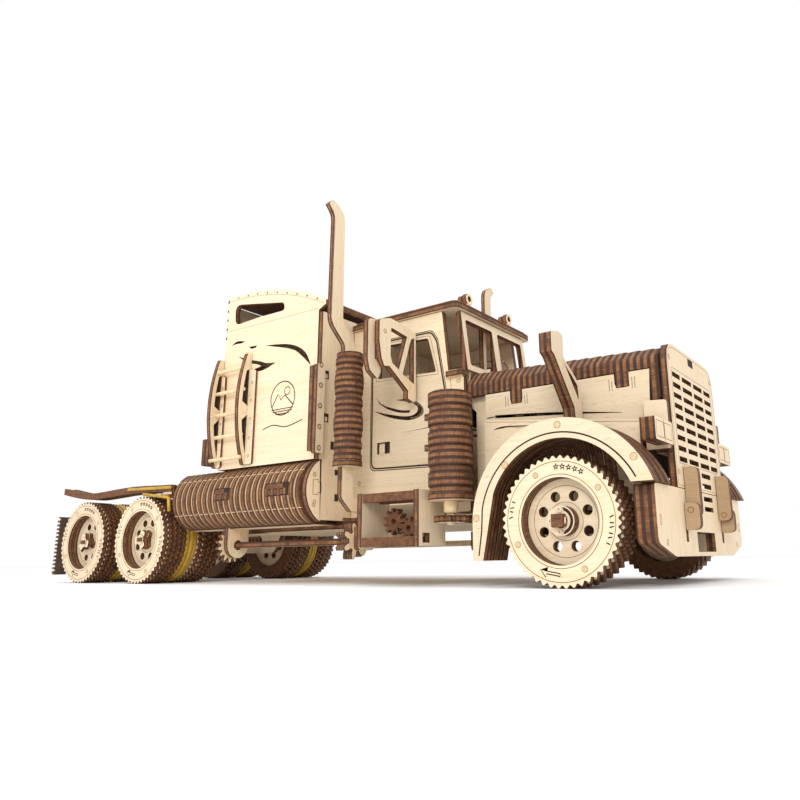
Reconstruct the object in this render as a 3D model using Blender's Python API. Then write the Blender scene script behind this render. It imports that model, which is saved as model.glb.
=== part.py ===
"""Laminated plywood model truck: a tractor unit with a sleeper, built from laser-cut plates.

The frame is +X forward, +Y to the driver's left and +Z up, with the origin on the ground under
the middle of the truck. Sizes below are in millimetres and become metres as each mesh is made.
Every plate is drawn as an outline in one of three planes and then given its thickness:
XZ plates stand along the truck, YZ plates stand across it and XY plates lie flat.
"""
import math

import bmesh
import bpy
from mathutils import Matrix

MM = 0.001
PLY = 3.0                       # one sheet of plywood
GAP = 0.3                       # clearance between neighbouring pieces
SIDES = (("left", 1), ("right", -1))

WHEEL_R = 24.9
WHEEL_SIDES = 40                # chords round a tyre, one corner at the bottom
AXLE_Z = WHEEL_R
FRONT_AXLE_X = 163.0
REAR_AXLES_X = (-107.7, -169.3)
KINGPIN_Y = 50.0
TYRE_Y = (47.6, 65.6)           # front tyre, inner and outer face
DUAL_Y = (29.0, 68.3)           # a rear pair of tyres, inner and outer face
RIM_WELL_R = 16.5
AXLE_R = 3.0

RAIL_Y = (20.5, 23.5)
CAB_Y = 36.0                    # outer face of the cab's side and of the door
SLEEPER_Y = 60.0                # outer face of the sleeper's side
SLEEPER_X = (-50.6, 25.4)
WALL_X = 25.7                   # rear face of the wall between the cab and the sleeper
DOOR_HINGE = (88.0, 36.9)
DOOR = [(42, 56, 4), (88.6, 55, 2), (91, 80, 6), (90.5, 91, 6), (85.5, 118.5, 5),
        (82, 124, 4), (45, 124.5, 3), (42, 121, 3)]
HOOD_HINGE = (101.5, 100.5)
HOOD_X = (101.6, 195.0)
HOOD_TOP_Z = (101.0, 97.6)      # crest of the bonnet at its rear and at its front
HOOD_SIDE_Z = (86.5, 86.2)      # top edge of the bonnet's side at its rear and at its front
HOOD_Y = 34.3
ARCH_R = (31.5, 39.4)           # wheel arch of the front wing
GRILLE_X = (196.0, 199.0)
BUMPER_X = (191.0, 199.0)
GRILLE_COLUMNS = ((-27.5, -17.4), (-14.6, -1.4), (1.4, 14.6), (17.4, 27.5))

GEAR_MODULE = 1.9871            # two axle gears and the idler fill the distance between the axles
AXLE_TEETH = 12
IDLER_TEETH = 19
IDLER_X = sum(REAR_AXLES_X) / 2
GEAR_Y = (-7.0, -1.0)
SHAFT_YZ = (-50.0, 20.4)        # long gear-selector shaft under the right side


def clear_scene():
    for item in list(bpy.data.objects):
        bpy.data.objects.remove(item, do_unlink=True)


def material(name, colour, roughness):
    made = bpy.data.materials.new(name)
    made.use_nodes = True
    shader = made.node_tree.nodes["Principled BSDF"]
    shader.inputs["Base Color"].default_value = (*colour, 1.0)
    shader.inputs["Roughness"].default_value = roughness
    shader.inputs["Metallic"].default_value = 0.0
    return made


def arc(cx, cy, radius, start, end, count):
    """Points on a circle from one angle to another, in degrees."""
    step = (end - start) / count
    angles = [math.radians(start + step * i) for i in range(count + 1)]
    return [(cx + radius * math.cos(a), cy + radius * math.sin(a)) for a in angles]


def arc_through(first, middle, last, count):
    """Points on the circle through three points, from the first to the last."""
    ax, ay = first
    bx, by = middle
    cx, cy = last
    d = 2 * (ax * (by - cy) + bx * (cy - ay) + cx * (ay - by))
    a2, b2, c2 = ax * ax + ay * ay, bx * bx + by * by, cx * cx + cy * cy
    ux = (a2 * (by - cy) + b2 * (cy - ay) + c2 * (ay - by)) / d
    uy = (a2 * (cx - bx) + b2 * (ax - cx) + c2 * (bx - ax)) / d
    start = math.degrees(math.atan2(ay - uy, ax - ux))
    end = math.degrees(math.atan2(cy - uy, cx - ux))
    return arc(ux, uy, math.hypot(ax - ux, ay - uy), start, end, count)


def rounded(corners, steps=3):
    """Outline from corners (u, v) or (u, v, radius), with the radius cut as short chords."""
    points = []
    total = len(corners)
    for i, corner in enumerate(corners):
        u, v = corner[:2]
        radius = corner[2] if len(corner) > 2 else 0
        if radius == 0:
            points.append((u, v))
            continue
        before, after = corners[i - 1], corners[(i + 1) % total]
        d1 = (before[0] - u, before[1] - v)
        d2 = (after[0] - u, after[1] - v)
        n1, n2 = math.hypot(*d1), math.hypot(*d2)
        d1, d2 = (d1[0] / n1, d1[1] / n1), (d2[0] / n2, d2[1] / n2)
        half = math.acos(max(-1, min(1, d1[0] * d2[0] + d1[1] * d2[1]))) / 2
        reach = min(radius / math.tan(half), 0.45 * n1, 0.45 * n2)
        p1 = (u + d1[0] * reach, v + d1[1] * reach)
        p2 = (u + d2[0] * reach, v + d2[1] * reach)
        for k in range(steps + 1):
            t = k / steps
            points.append(tuple((1 - t) ** 2 * a + 2 * t * (1 - t) * c + t * t * b
                                for a, c, b in zip(p1, (u, v), p2)))
    return points


def grow(corners, distance):
    """A convex anticlockwise outline moved outward by a distance, keeping its corner radii."""
    grown = []
    total = len(corners)
    for i, corner in enumerate(corners):
        before, after = corners[i - 1], corners[(i + 1) % total]
        e1 = (corner[0] - before[0], corner[1] - before[1])
        e2 = (after[0] - corner[0], after[1] - corner[1])
        n1 = (e1[1] / math.hypot(*e1), -e1[0] / math.hypot(*e1))
        n2 = (e2[1] / math.hypot(*e2), -e2[0] / math.hypot(*e2))
        scale = distance / (1 + n1[0] * n2[0] + n1[1] * n2[1])
        grown.append((corner[0] + (n1[0] + n2[0]) * scale, corner[1] + (n1[1] + n2[1]) * scale)
                     + tuple(corner[2:]))
    return grown


def box_outline(u0, u1, v0, v1, radius=0):
    return rounded([(u0, v0, radius), (u1, v0, radius), (u1, v1, radius), (u0, v1, radius)])


def mirrored(half):
    """A closed outline from its half at positive u, listed from the bottom to the top."""
    kept = [(u, v) for u, v in half if u > 0]
    return kept + [(-u, v) for u, v in reversed(kept)]


def circle(cx, cy, radius, count):
    return arc(cx, cy, radius, 0, 360, count)[:-1]


PLANES = {
    "XZ": Matrix(((1, 0, 0), (0, 0, -1), (0, 1, 0))),
    "YZ": Matrix(((0, 0, 1), (1, 0, 0), (0, 1, 0))),
    "XY": Matrix(((1, 0, 0), (0, 1, 0), (0, 0, 1))),
}


def plate_mesh(name, plane, loops, span):
    """Closed plate with holes: loops in a plane, filled and given the depth of span."""
    curve = bpy.data.curves.new(name, "CURVE")
    curve.dimensions = "2D"
    curve.fill_mode = "BOTH"
    low, high = min(span), max(span)
    curve.extrude = (high - low) / 2 * MM
    for loop in loops:
        spline = curve.splines.new("POLY")
        spline.points.add(len(loop) - 1)
        spline.use_cyclic_u = True
        for point, (u, v) in zip(spline.points, loop):
            point.co = (u * MM, v * MM, 0, 1)
    holder = bpy.data.objects.new(name, curve)
    bpy.context.collection.objects.link(holder)
    mesh = bpy.data.meshes.new_from_object(holder)
    bpy.data.objects.remove(holder, do_unlink=True)
    middle = (high + low) / 2 * MM
    mesh.transform(Matrix.Translation((0, 0, middle * (-1 if plane == "XZ" else 1))))
    mesh.transform(PLANES[plane].to_4x4())
    weld(mesh)
    return mesh


def weld(mesh):
    shape = bmesh.new()
    shape.from_mesh(mesh)
    bmesh.ops.remove_doubles(shape, verts=shape.verts, dist=1e-6)
    bmesh.ops.recalc_face_normals(shape, faces=shape.faces)
    shape.to_mesh(mesh)
    shape.free()


def add(name, mesh, finish, pivot=(0, 0, 0)):
    """Object on its mesh, with its origin moved to the pivot that it turns about."""
    centre = [value * MM for value in pivot]
    mesh.transform(Matrix.Translation([-value for value in centre]))
    made = bpy.data.objects.new(name, mesh)
    made.location = centre
    bpy.context.collection.objects.link(made)
    mesh.materials.clear()
    mesh.materials.append(finish)
    return made


def plate(name, plane, loops, span, finish, pivot=(0, 0, 0)):
    return add(name, plate_mesh(name, plane, loops, span), finish, pivot)


def turned_mesh(name, profile, centre, axis, count):
    """Solid of revolution from a profile of (radius, distance along the axis)."""
    shape = bmesh.new()
    rings = []
    for radius, along in profile:
        ring = []
        for k in range(count if radius > 0 else 1):
            angle = 2 * math.pi * k / count - math.pi / 2
            u, v = radius * math.cos(angle), radius * math.sin(angle)
            offset = {"X": (along, u, v), "Y": (u, along, v), "Z": (u, v, along)}[axis]
            ring.append(shape.verts.new([(c + o) * MM for c, o in zip(centre, offset)]))
        rings.append(ring)
    for a, b in zip(rings, rings[1:] + rings[:1]):
        for k in range(count):
            corners = [a[k % len(a)], a[(k + 1) % len(a)], b[(k + 1) % len(b)], b[k % len(b)]]
            unique = list(dict.fromkeys(corners))
            if len(unique) > 2:
                shape.faces.new(unique)
    mesh = bpy.data.meshes.new(name)
    bmesh.ops.recalc_face_normals(shape, faces=shape.faces)
    shape.to_mesh(mesh)
    shape.free()
    return mesh


def combine(target, meshes, operation="UNION", solver="EXACT"):
    """Joins meshes to an object, or cuts them from it; they share the object's own origin."""
    for mesh in meshes:
        tool = bpy.data.objects.new("tool", mesh)
        tool.location = target.location
        bpy.context.collection.objects.link(tool)
        modifier = target.modifiers.new("join", "BOOLEAN")
        modifier.operation = operation
        modifier.object = tool
        modifier.solver = solver
        bpy.context.view_layer.update()
        graph = bpy.context.evaluated_depsgraph_get()
        result = bpy.data.meshes.new_from_object(target.evaluated_get(graph))
        target.modifiers.clear()
        weld(result)
        target.data = result
        bpy.data.objects.remove(tool, do_unlink=True)
    return target


def smooth_round(made, angle=35):
    made.data.shade_smooth()
    made.data.set_sharp_from_angle(angle=math.radians(angle))
    return made


def side_span(side, inner, outer):
    return (side * inner, side * outer)


def gear_outline(cx, cy, teeth, phase, module=GEAR_MODULE):
    """Gear with straight-flanked teeth, slightly thin so that a pair runs freely."""
    pitch_r = module * teeth / 2
    turn = 2 * math.pi / teeth
    steps = ((pitch_r - 1.15 * module, 0.30), (pitch_r - 0.45 * module, 0.245),
             (pitch_r + 0.30 * module, 0.175), (pitch_r + 0.85 * module, 0.09))
    points = []
    for k in range(teeth):
        middle = turn * (k + phase)
        rise = [(radius, middle - turn * half) for radius, half in steps]
        fall = [(radius, middle + turn * half) for radius, half in reversed(steps)]
        for radius, angle in rise + fall:
            points.append((cx + radius * math.cos(angle), cy + radius * math.sin(angle)))
    return points


# ---------------------------------------------------------------- chassis

def frame_rails(wood):
    outline = [(-201, 30, 3), (-196, 17, 4), (-92, 17, 4), (-84, 32.6, 4), (186, 32.6, 2),
               (190.5, 36, 2), (190.5, 43, 2), (-201, 43, 2)]
    holes = [circle(x, AXLE_Z, AXLE_R + 0.5, 12) for x in REAR_AXLES_X]
    holes.append(circle(IDLER_X, AXLE_Z, 2.5, 12))
    for word, side in SIDES:
        span = side_span(side, *RAIL_Y)
        plate("frame_rail_" + word, "XZ", [rounded(outline), *holes], span, wood)


def chassis_floor(wood):
    outline = rounded([(-32, -41), (112, -41, 3), (112, 41, 3), (-32, 41), (-32, 34), (-62, 34),
                       (-62, -34), (-32, -34)])
    plate("chassis_floor", "XY", [outline], (27.0, 32.2), wood)


def rear_crossmember(wood):
    half = rounded([(0, 38), (37, 38, 2), (40, 5, 2), (67, 5, 2), (67, 56, 5), (0, 56)])
    plate("rear_crossmember", "YZ", [mirrored(half)], (-205.0, -202.0), wood)


def mudguards(wood):
    """Thin wavy strip above the rear wheels, made of plates that stand side by side."""
    def height(x):
        rise = max(0, (-x - 165) / 37)
        return 53.9 + 0.6 * math.cos(math.pi * (x + 122.0) / 44.0) + 4.2 * rise ** 1.5

    stations = [-201.7 + 5.95 * i for i in range(21)]
    under = [(x, height(x) - 2.0) for x in stations]
    over = [(x, height(x) + 2.0) for x in reversed(stations)]
    for word, side in SIDES:
        plate("mudguard_" + word, "XZ", [under + over], side_span(side, 57.0, 66.5), wood)


def front_fenders(wood):
    """Wheel arch of stacked plates, with a flat panel behind it that closes the engine bay."""
    inner_r, outer_r = ARCH_R
    cx, cz, foot = FRONT_AXLE_X + 0.5, 25.0, 10.5
    lip = 37.6
    front_in = math.degrees(math.asin((lip - cz) / inner_r))
    front_out = math.degrees(math.asin((lip - cz) / outer_r))
    arch = [(cx - outer_r, foot)] + arc(cx, cz, outer_r, 180, front_out, 18)
    arch += arc(cx, cz, inner_r, front_in, 158, 15) + [(128.8, foot)]
    panel = [(118.6, 28.0), (126.0, 28.0)] + arc(cx, cz, inner_r + 2.0, 172, 38, 14)
    panel += [(190.2, 63.8), (118.6, 71.7)]
    for word, side in SIDES:
        fender = plate("front_fender_" + word, "XZ", [arch], side_span(side, 46.0, 66.0), wood)
        back = plate_mesh("panel", "XZ", [panel], side_span(side, 43.2, 46.2))
        combine(fender, [back])


def bumper(wood):
    half = rounded([(0, 11.1), (42, 11.1, 2), (60.3, 16, 3), (60.3, 37.3, 2), (0, 37.3)])
    tow = box_outline(-13, 13, 12.8, 20.7)
    slots = [box_outline(u, u + 3.0, 16.6, 22.0) for u in (24.8, -27.8)]
    slots += [box_outline(u0, u1, z - 1.0, z + 1.0) for z in (34.9, 30.6)
              for u0, u1 in GRILLE_COLUMNS[1:3]]
    plate("bumper", "YZ", [mirrored(half), tow, *slots], BUMPER_X, wood)


def bumper_guards(wood):
    """Two rounded plates on edge on each side of the bumper's middle, one lapped over the other."""
    back, front = BUMPER_X[1] + GAP, 205.0
    upper = rounded([(back, 26.4), (front - 0.2, 26.4, 3), (front - 0.2, 46.2, 3), (back, 46.2)])
    lower = rounded([(back, 21.1), (front, 21.1, 3), (front, 31.6, 3), (back, 31.6)])
    for word, side in SIDES:
        guard = plate("bumper_guard_" + word, "XZ", [upper], side_span(side, 21.6, 24.8), wood)
        combine(guard, [plate_mesh("lower", "XZ", [lower], side_span(side, 24.6, 27.8))])


def grille_plate(wood):
    half = rounded([(0, 37.6), (33, 37.6), (33, 98, 9), (0, 98)])
    rows = [(84.7 - 4.42 * row, GRILLE_COLUMNS) for row in range(9)]
    rows += [(44.9, GRILLE_COLUMNS[1:3]), (40.5, GRILLE_COLUMNS[1:3])]
    holes = [box_outline(u0, u1, z - 1.05, z + 1.05) for z, columns in rows for u0, u1 in columns]
    plate("grille_plate", "YZ", [mirrored(half), *holes], GRILLE_X, wood)


def headlights(wood):
    for word, side in SIDES:
        u0, u1 = sorted((side * 33.6, side * 54.0))
        plate("headlight_" + word, "YZ", [box_outline(u0, u1, 54.0, 63.0, 1)],
              (193.0, 199.0), wood)


def engine_block(wood):
    half = rounded([(0, 43.4), (10, 43.4), (12, 57), (27, 72, 2), (20, 82, 2), (0, 65)])
    plate("engine_block", "YZ", [mirrored(half)], (118.0, 166.0), wood)


def front_axle_beam(wood):
    """Cross beam with a fork at each end that holds the knuckle between two arms."""
    half = [(0, 20), (38, 20), (41, 17.3), (54, 17.3), (54, 20.3), (44, 20.3), (44, 29.5),
            (54, 29.5), (54, 32.3), (0, 32.3)]
    beam = plate("front_axle_beam", "YZ", [mirrored(half)],
                 (FRONT_AXLE_X - 4.5, FRONT_AXLE_X + 4.5), wood)
    bores = [plate_mesh("bore", "XY", [circle(FRONT_AXLE_X, side * KINGPIN_Y, 2.0, 12)],
                        (14, 36)) for _, side in SIDES]
    combine(beam, bores, "DIFFERENCE", "MANIFOLD")


def fifth_wheel_base(wood):
    outline = rounded([(-160, -20), (-117, -20), (-117, 20), (-160, 20)])
    gear_slot = box_outline(IDLER_X - 12, IDLER_X + 12, -8.6, 0.6)
    base = plate("fifth_wheel_base", "XY", [outline, gear_slot], (43.3, 46.3), wood)
    ears = [plate_mesh("ear", "XZ", [rounded([(-147, 46), (-129, 46), (-135, 57, 3),
                                              (-141, 57, 3)])], side_span(side, 15.5, 19.5))
            for _, side in SIDES]
    combine(base, ears)
    combine(base, [plate_mesh("bore", "XZ", [circle(-138.0, 53.0, 1.6, 12)], (-25, 25))],
            "DIFFERENCE")


# ---------------------------------------------------------------- cab

def firewall(wood):
    """Bulkhead behind the engine with the scuttle shelf under the windscreen."""
    outline = [(104, 43.4), (111.5, 43.4), (111.5, 90.4), (100.9, 90.4), (100.9, 100.6),
               (90, 100.6), (90, 97.5), (97.5, 97.5), (97.5, 86), (104, 80)]
    plate("firewall", "XZ", [outline], (-30.0, 30.0), wood)


def cab_sides(wood):
    outline = rounded([(29.2, 32.6), (103.6, 32.6, 1), (103.6, 85.5), (100.9, 87),
                       (100.9, 97, 2), (97, 101.4), (91.8, 101.4),
                       (88.3, 133), (29.2, 133)])
    opening = rounded(grow(DOOR, 0.45))
    for word, side in SIDES:
        span = side_span(side, CAB_Y - PLY, CAB_Y)
        plate("cab_side_" + word, "XZ", [outline, opening], span, wood)


def cab_roof(wood):
    outline = rounded([(29.3, -37.7), (98.6, -37.7, 4), (98.6, 37.7, 4), (29.3, 37.7)])
    plate("cab_roof", "XY", [outline], (133.3, 136.3), wood)


def windshield_frame(wood):
    """Two-pane frame that leans back towards the roof."""
    frame = box_outline(-31.5, 31.5, 0, 31.2)
    panes = [box_outline(u, u + 25.6, 3.0, 27.5, 1.5) for u in (-28.2, 2.6)]
    made = plate("windshield_frame", "YZ", [frame, *panes], (-1.5, 1.5), wood)
    made.rotation_euler = (0, math.radians(-7.0), 0)
    made.location = (99.0 * MM, 0, 101.6 * MM)


def sleeper_walls(wood):
    lower, upper = 57.7, 59.9
    half = [(24.2, 43.4), (24.2, 32.6), (41.5, 32.6), (41.5, 31), (lower, 31), (lower, 61),
            (upper, 61), (upper, 139)]
    plate("sleeper_front", "YZ", [mirrored(half)], (WALL_X, WALL_X + PLY), wood)
    back = box_outline(-56.5, 56.5, 61.3, 158.5)
    window = box_outline(-19, 19, 100, 124, 3)
    plate("sleeper_back", "YZ", [back, window], (SLEEPER_X[0], SLEEPER_X[0] + PLY), wood)


def roof_arch(offset, start, end, count):
    """The curve of the sleeper's roof, moved down by an offset, between two places along X."""
    whole = arc_through((SLEEPER_X[0], 163.5 - offset), (-8.0, 159.5 - offset),
                        (30.5, 145.5 - offset), 60)
    kept = [point for point in whole if start <= point[0] <= end]
    stride = max(1, len(kept) // count)
    return kept[::stride]


def sleeper_sides(wood):
    top = roof_arch(0, SLEEPER_X[0] - 0.1, 30.6, 20)
    outline = [(SLEEPER_X[0], 61.3), (SLEEPER_X[1], 61.3), (SLEEPER_X[1], 140.5), (30.5, 143.0)]
    outline += sorted(top, reverse=True)
    vent = rounded([(-41, 146.4, 2), (-21.5, 146.3), (-2.8, 147.6, 1), (-3, 151, 1),
                    (-41.6, 156.6, 3)])
    for word, side in SIDES:
        plate("sleeper_side_" + word, "XZ", [outline, vent],
              side_span(side, SLEEPER_Y - PLY, SLEEPER_Y), wood)


def sleeper_roof(wood):
    outer = roof_arch(0.2, SLEEPER_X[0] + 0.4, 29.5, 20)
    inner = [(x, z - PLY) for x, z in outer]
    outline = sorted(outer, reverse=True) + sorted(inner)
    plate("sleeper_roof", "XZ", [outline], (-56.6, 56.6), wood)


def ladders(wood):
    """Pair of bowed rails with round rungs on the sleeper's side."""
    for word, side in SIDES:
        bow = [(side * u, v) for u, v in arc_through((62.0, 62.5), (67.6, 96.0), (63.0, 125.0), 8)]
        outline = [(side * 60.3, 62.5)] + bow + [(side * 60.3, 125.0)]
        first = plate("ladder_" + word, "YZ", [outline], (-53.0, -50.0), wood)
        pieces = [plate_mesh("rail", "YZ", [outline], (-29.0, -26.0))]
        for rung in range(5):
            spot = (-50.5, side * 64.0, 66.5 + 12.6 * rung)
            pieces.append(turned_mesh("rung", [(0, 0), (1.1, 0), (1.1, 22.0), (0, 22.0)], spot,
                                      "X", 8))
        combine(first, pieces)


def fuel_tanks(wood):
    """D-shaped tank of many ribs, with an end cap keyed to the wall of the cab."""
    cy, cz, radius = 50.4, 45.6, 17.1
    for word, side in SIDES:
        round_side = [(side * u, v) for u, v in arc(cy, cz, radius, -66, 60.5, 16)]
        top = cz + radius * math.sin(math.radians(60.5))
        bottom = cz - radius * math.sin(math.radians(66))
        outline = round_side + [(side * cy, top), (side * cy, bottom)]
        tank = plate("fuel_tank_" + word, "YZ", [outline], (-79.0, SLEEPER_X[1] - 0.1), wood)
        cap = [(side * u, v) for u, v in arc(cy, cz, radius, -58, 58, 14)]
        combine(tank, [plate_mesh("cap", "YZ", [cap], (SLEEPER_X[1] - 1.0, WALL_X + PLY))])


def exhausts(wood):
    """Silencer of stacked discs with a flat-cut pipe above it and one below."""
    x, y, radius = 48.4, 60.0, 7.4
    upper = rounded([(57.5, 112), (65, 112), (65, 115.5, 3), (75.2, 125, 5), (74.6, 181, 4),
                     (79, 187, 1), (76, 190.5, 1), (67.5, 184.5, 4), (67, 126.5, 5), (57.5, 117)])
    lower = rounded([(57.5, 55.5), (65, 55.5), (65, 40, 4), (58, 34), (51, 34), (51, 39),
                     (57.5, 41, 2)])
    profile = [(0, 55), (radius, 55), (radius, 112), (0, 112)]
    for word, side in SIDES:
        stack = add("exhaust_" + word, turned_mesh("muffler", profile, (x, side * y, 0), "Z", 20),
                    wood)
        pieces = [plate_mesh("pipe", "YZ", [[(side * u, v) for u, v in outline]],
                             (x - 1.5, x + 1.5)) for outline in (shift_into(upper, 1.0, 112),
                                                                 shift_into(lower, -1.0, 55.5))]
        combine(stack, pieces)
        smooth_round(stack, 30)


def shift_into(outline, depth, level):
    """Moves the outline's points at a level into the neighbouring piece, to join with it."""
    return [(u, v - depth) if abs(v - level) < 0.01 else (u, v) for u, v in outline]


def air_cleaners(wood):
    profile = [(0, 30.5), (3.2, 30.5), (3.2, 36), (10.1, 36), (10.1, 83.5), (0, 83.5)]
    for word, side in SIDES:
        mesh = turned_mesh("air_cleaner_" + word, profile, (107.5, side * 57.4, 0), "Z", 24)
        smooth_round(add("air_cleaner_" + word, mesh, wood), 30)


def step_boxes(wood):
    frame = rounded([(60.8, 17.0), (96.5, 17.0), (96.5, 41.2), (60.8, 41.2)])
    window = box_outline(65.6, 93.0, 22.0, 36.8)
    for word, side in SIDES:
        plate("step_box_" + word, "XZ", [frame, window], side_span(side, 46.4, 66.0), wood)


def hood_mirrors(wood):
    outline = rounded([(38.6, 67.8), (45.6, 67.8), (46.2, 72.0), (62.5, 91.0), (65.0, 92.3, 1),
                       (65.0, 100.5, 1), (57.6, 102.2, 1), (54.4, 101.2, 1), (54.8, 92.0),
                       (40.2, 83.0), (38.6, 79.0)])
    cut = rounded([(41.4, 75.6), (54.0, 89.4), (42.2, 82.0)])
    for word, side in SIDES:
        loops = [[(side * u, v) for u, v in loop] for loop in (outline, cut)]
        plate("hood_mirror_" + word, "YZ", loops, (157.4, 163.0), wood)


# ---------------------------------------------------------------- moving pieces

def hood_section(crest, edge):
    """Outer and inner outline of the bonnet's top at one end, point for point."""
    shoulder = crest - 0.55 * (crest - edge)
    outer = rounded([(HOOD_Y, edge), (HOOD_Y, shoulder, 3), (27.5, crest - 0.9, 5), (0, crest)])
    inner = rounded([(30.7, edge), (30.7, shoulder - 1.4, 2), (26.0, crest - 4.8, 4),
                     (0, crest - 4.2)])
    return [half[:-1] + [(-u, v) for u, v in reversed(half[:-1])] for half in (outer, inner)]


def hood(wood):
    """Ribbed top and two side panels, hinged at the rear edge."""
    shape = bmesh.new()
    ends = []
    for x, crest, edge in zip(HOOD_X, HOOD_TOP_Z, HOOD_SIDE_Z):
        ends.append([[shape.verts.new((x * MM, u * MM, v * MM)) for u, v in outline]
                     for outline in hood_section(crest, edge + GAP)])
    (rear_out, rear_in), (front_out, front_in) = ends
    for first, second in ((rear_out, front_out), (rear_in, front_in), (rear_out, rear_in),
                          (front_out, front_in)):
        for k in range(len(first) - 1):
            shape.faces.new((first[k], first[k + 1], second[k + 1], second[k]))
    for k in (0, -1):
        shape.faces.new((rear_out[k], front_out[k], front_in[k], rear_in[k]))
    bmesh.ops.triangulate(shape, faces=shape.faces)
    bmesh.ops.recalc_face_normals(shape, faces=shape.faces)
    mesh = bpy.data.meshes.new("hood_top")
    shape.to_mesh(mesh)
    shape.free()
    add("hood_top", mesh, wood, (HOOD_HINGE[0], 0, HOOD_HINGE[1]))
    panel = [(112.0, 70.0), (188.0, 64.5), (191.0, 72.2), (194.3, HOOD_SIDE_Z[1]),
             (112.0, HOOD_SIDE_Z[0])]
    for word, side in SIDES:
        plate("hood_side_" + word, "XZ", [panel], side_span(side, 31.0, HOOD_Y), wood,
              (HOOD_HINGE[0], 0, HOOD_HINGE[1]))


def doors(wood):
    """Cab doors with the mirror and its bracket, hinged at the front edge."""
    bracket = rounded([(35.0, 88.8), (40.0, 86.8), (45.6, 86.8), (46.2, 92.5), (59.0, 100.6),
                       (61.5, 97.0, 1), (64.0, 94.6, 2), (69.6, 98.6, 2), (70.1, 124.4, 1),
                       (62.0, 126.0, 1), (47.5, 126.4, 2), (35.0, 122.6)])
    gap = rounded([(39.8, 97.5), (43.6, 97.5), (60.0, 106.5), (60.0, 121.6), (47.5, 122.8),
                   (39.8, 120.2)])
    handle = box_outline(46.5, 55.0, 64.0, 70.0)
    for word, side in SIDES:
        pivot = (DOOR_HINGE[0], side * DOOR_HINGE[1], 0)
        window = rounded([(46.5, 104.0, 1), (84.5, 102.0, 1), (79.5, 120.5, 2), (52.0, 121.5, 3),
                          (46.5, 119.0, 2)])
        door = plate("door_" + word, "XZ", [rounded(DOOR), window, handle],
                     side_span(side, CAB_Y - PLY, CAB_Y), wood, pivot)
        loops = [[(side * u, v) for u, v in loop] for loop in (bracket, gap)]
        frame = plate_mesh("bracket", "YZ", loops, (70.5, 73.5))
        frame.transform(Matrix.Translation([-value * MM for value in pivot]))
        combine(door, [frame])


def knuckles(wood):
    """Steering knuckle with its kingpin, stub axle and steering arm."""
    x = FRONT_AXLE_X
    arm = [(x + 3, 50.5), (x + 3, 46.8), (x - 5, 46.8), (x - 15, 43.2), (x - 20, 43.2),
           (x - 20, 46.2), (x - 15.5, 46.2), (x - 5.5, 50.5)]
    for word, side in SIDES:
        block = box_outline(x - 4.2, x + 4.2, 20.7, 29.1)
        made = plate("knuckle_" + word, "XZ", [block], side_span(side, 46.5, 54.0), wood,
                     (x, side * KINGPIN_Y, AXLE_Z))
        shift = Matrix.Translation((-x * MM, -side * KINGPIN_Y * MM, -AXLE_Z * MM))
        pin = turned_mesh("pin", [(0, 17.5), (1.6, 17.5), (1.6, 32.1), (0, 32.1)],
                          (x, side * KINGPIN_Y, 0), "Z", 12)
        stub = turned_mesh("stub", [(0, 0), (2.4, 0), (2.4, side * 14.3), (0, side * 14.3)],
                           (x, side * 53.0, AXLE_Z), "Y", 12)
        lever = plate_mesh("arm", "XY", [[(u, side * v) for u, v in arm]], (24.4, 27.4))
        peg = turned_mesh("peg", [(0, 21.0), (1.0, 21.0), (1.0, 25.0), (0, 25.0)],
                          (x - 18.0, side * 44.75, 0), "Z", 10)
        pieces = [pin, stub, lever, peg]
        for piece in pieces:
            piece.transform(shift)
        combine(made, pieces)


def tie_rod(wood):
    """Bar that joins the two steering arms, slotted where each arm's peg works in it."""
    x = FRONT_AXLE_X - 18.0
    outline = box_outline(x - 3.8, x + 4.6, -46.2, 46.2, 1)
    slots = [box_outline(x - 2.1, x + 2.9, side * 44.75 - 1.3, side * 44.75 + 1.3)
             for _, side in SIDES]
    plate("tie_rod", "XY", [outline, *slots], (20.6, 24.1), wood)


def wheel_profile(inner, outer, well, disc, bore, side, groove=None):
    """Half section of a wheel: tyre, recessed rim disc and hub, with a bore through it."""
    tread = [(WHEEL_R, outer), (WHEEL_R, inner)]
    if groove:
        low, high = groove
        floor = WHEEL_R - 3.0
        tread = [(WHEEL_R, outer), (WHEEL_R, high), (floor, high), (floor, low),
                 (WHEEL_R, low), (WHEEL_R, inner)]
    inside = [(RIM_WELL_R, inner), (RIM_WELL_R, disc[0]), (bore, disc[0])]
    outside = [(bore, outer - 1.0), (5.7, outer - 1.0), (5.7, disc[1]), (well, disc[1]),
               (well, outer)]
    return [(radius, side * along) for radius, along in tread + inside + outside]


def wheels(wood):
    for word, side in SIDES:
        profile = wheel_profile(*TYRE_Y, RIM_WELL_R, (56.2, 60.0), 2.8, side)
        mesh = turned_mesh("front_wheel", profile, (FRONT_AXLE_X, 0, AXLE_Z), "Y", WHEEL_SIDES)
        smooth_round(add("front_wheel_" + word, mesh, wood,
                         (FRONT_AXLE_X, side * KINGPIN_Y, AXLE_Z)))
        for number, x in enumerate(REAR_AXLES_X, 1):
            profile = wheel_profile(*DUAL_Y, RIM_WELL_R, (31.0, 62.4), AXLE_R + GAP, side,
                                    (45.5, 53.3))
            mesh = turned_mesh("dual", profile, (x, 0, AXLE_Z), "Y", WHEEL_SIDES)
            smooth_round(add(f"rear_wheel_{number}_{word}", mesh, wood, (x, 0, AXLE_Z)))


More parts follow.
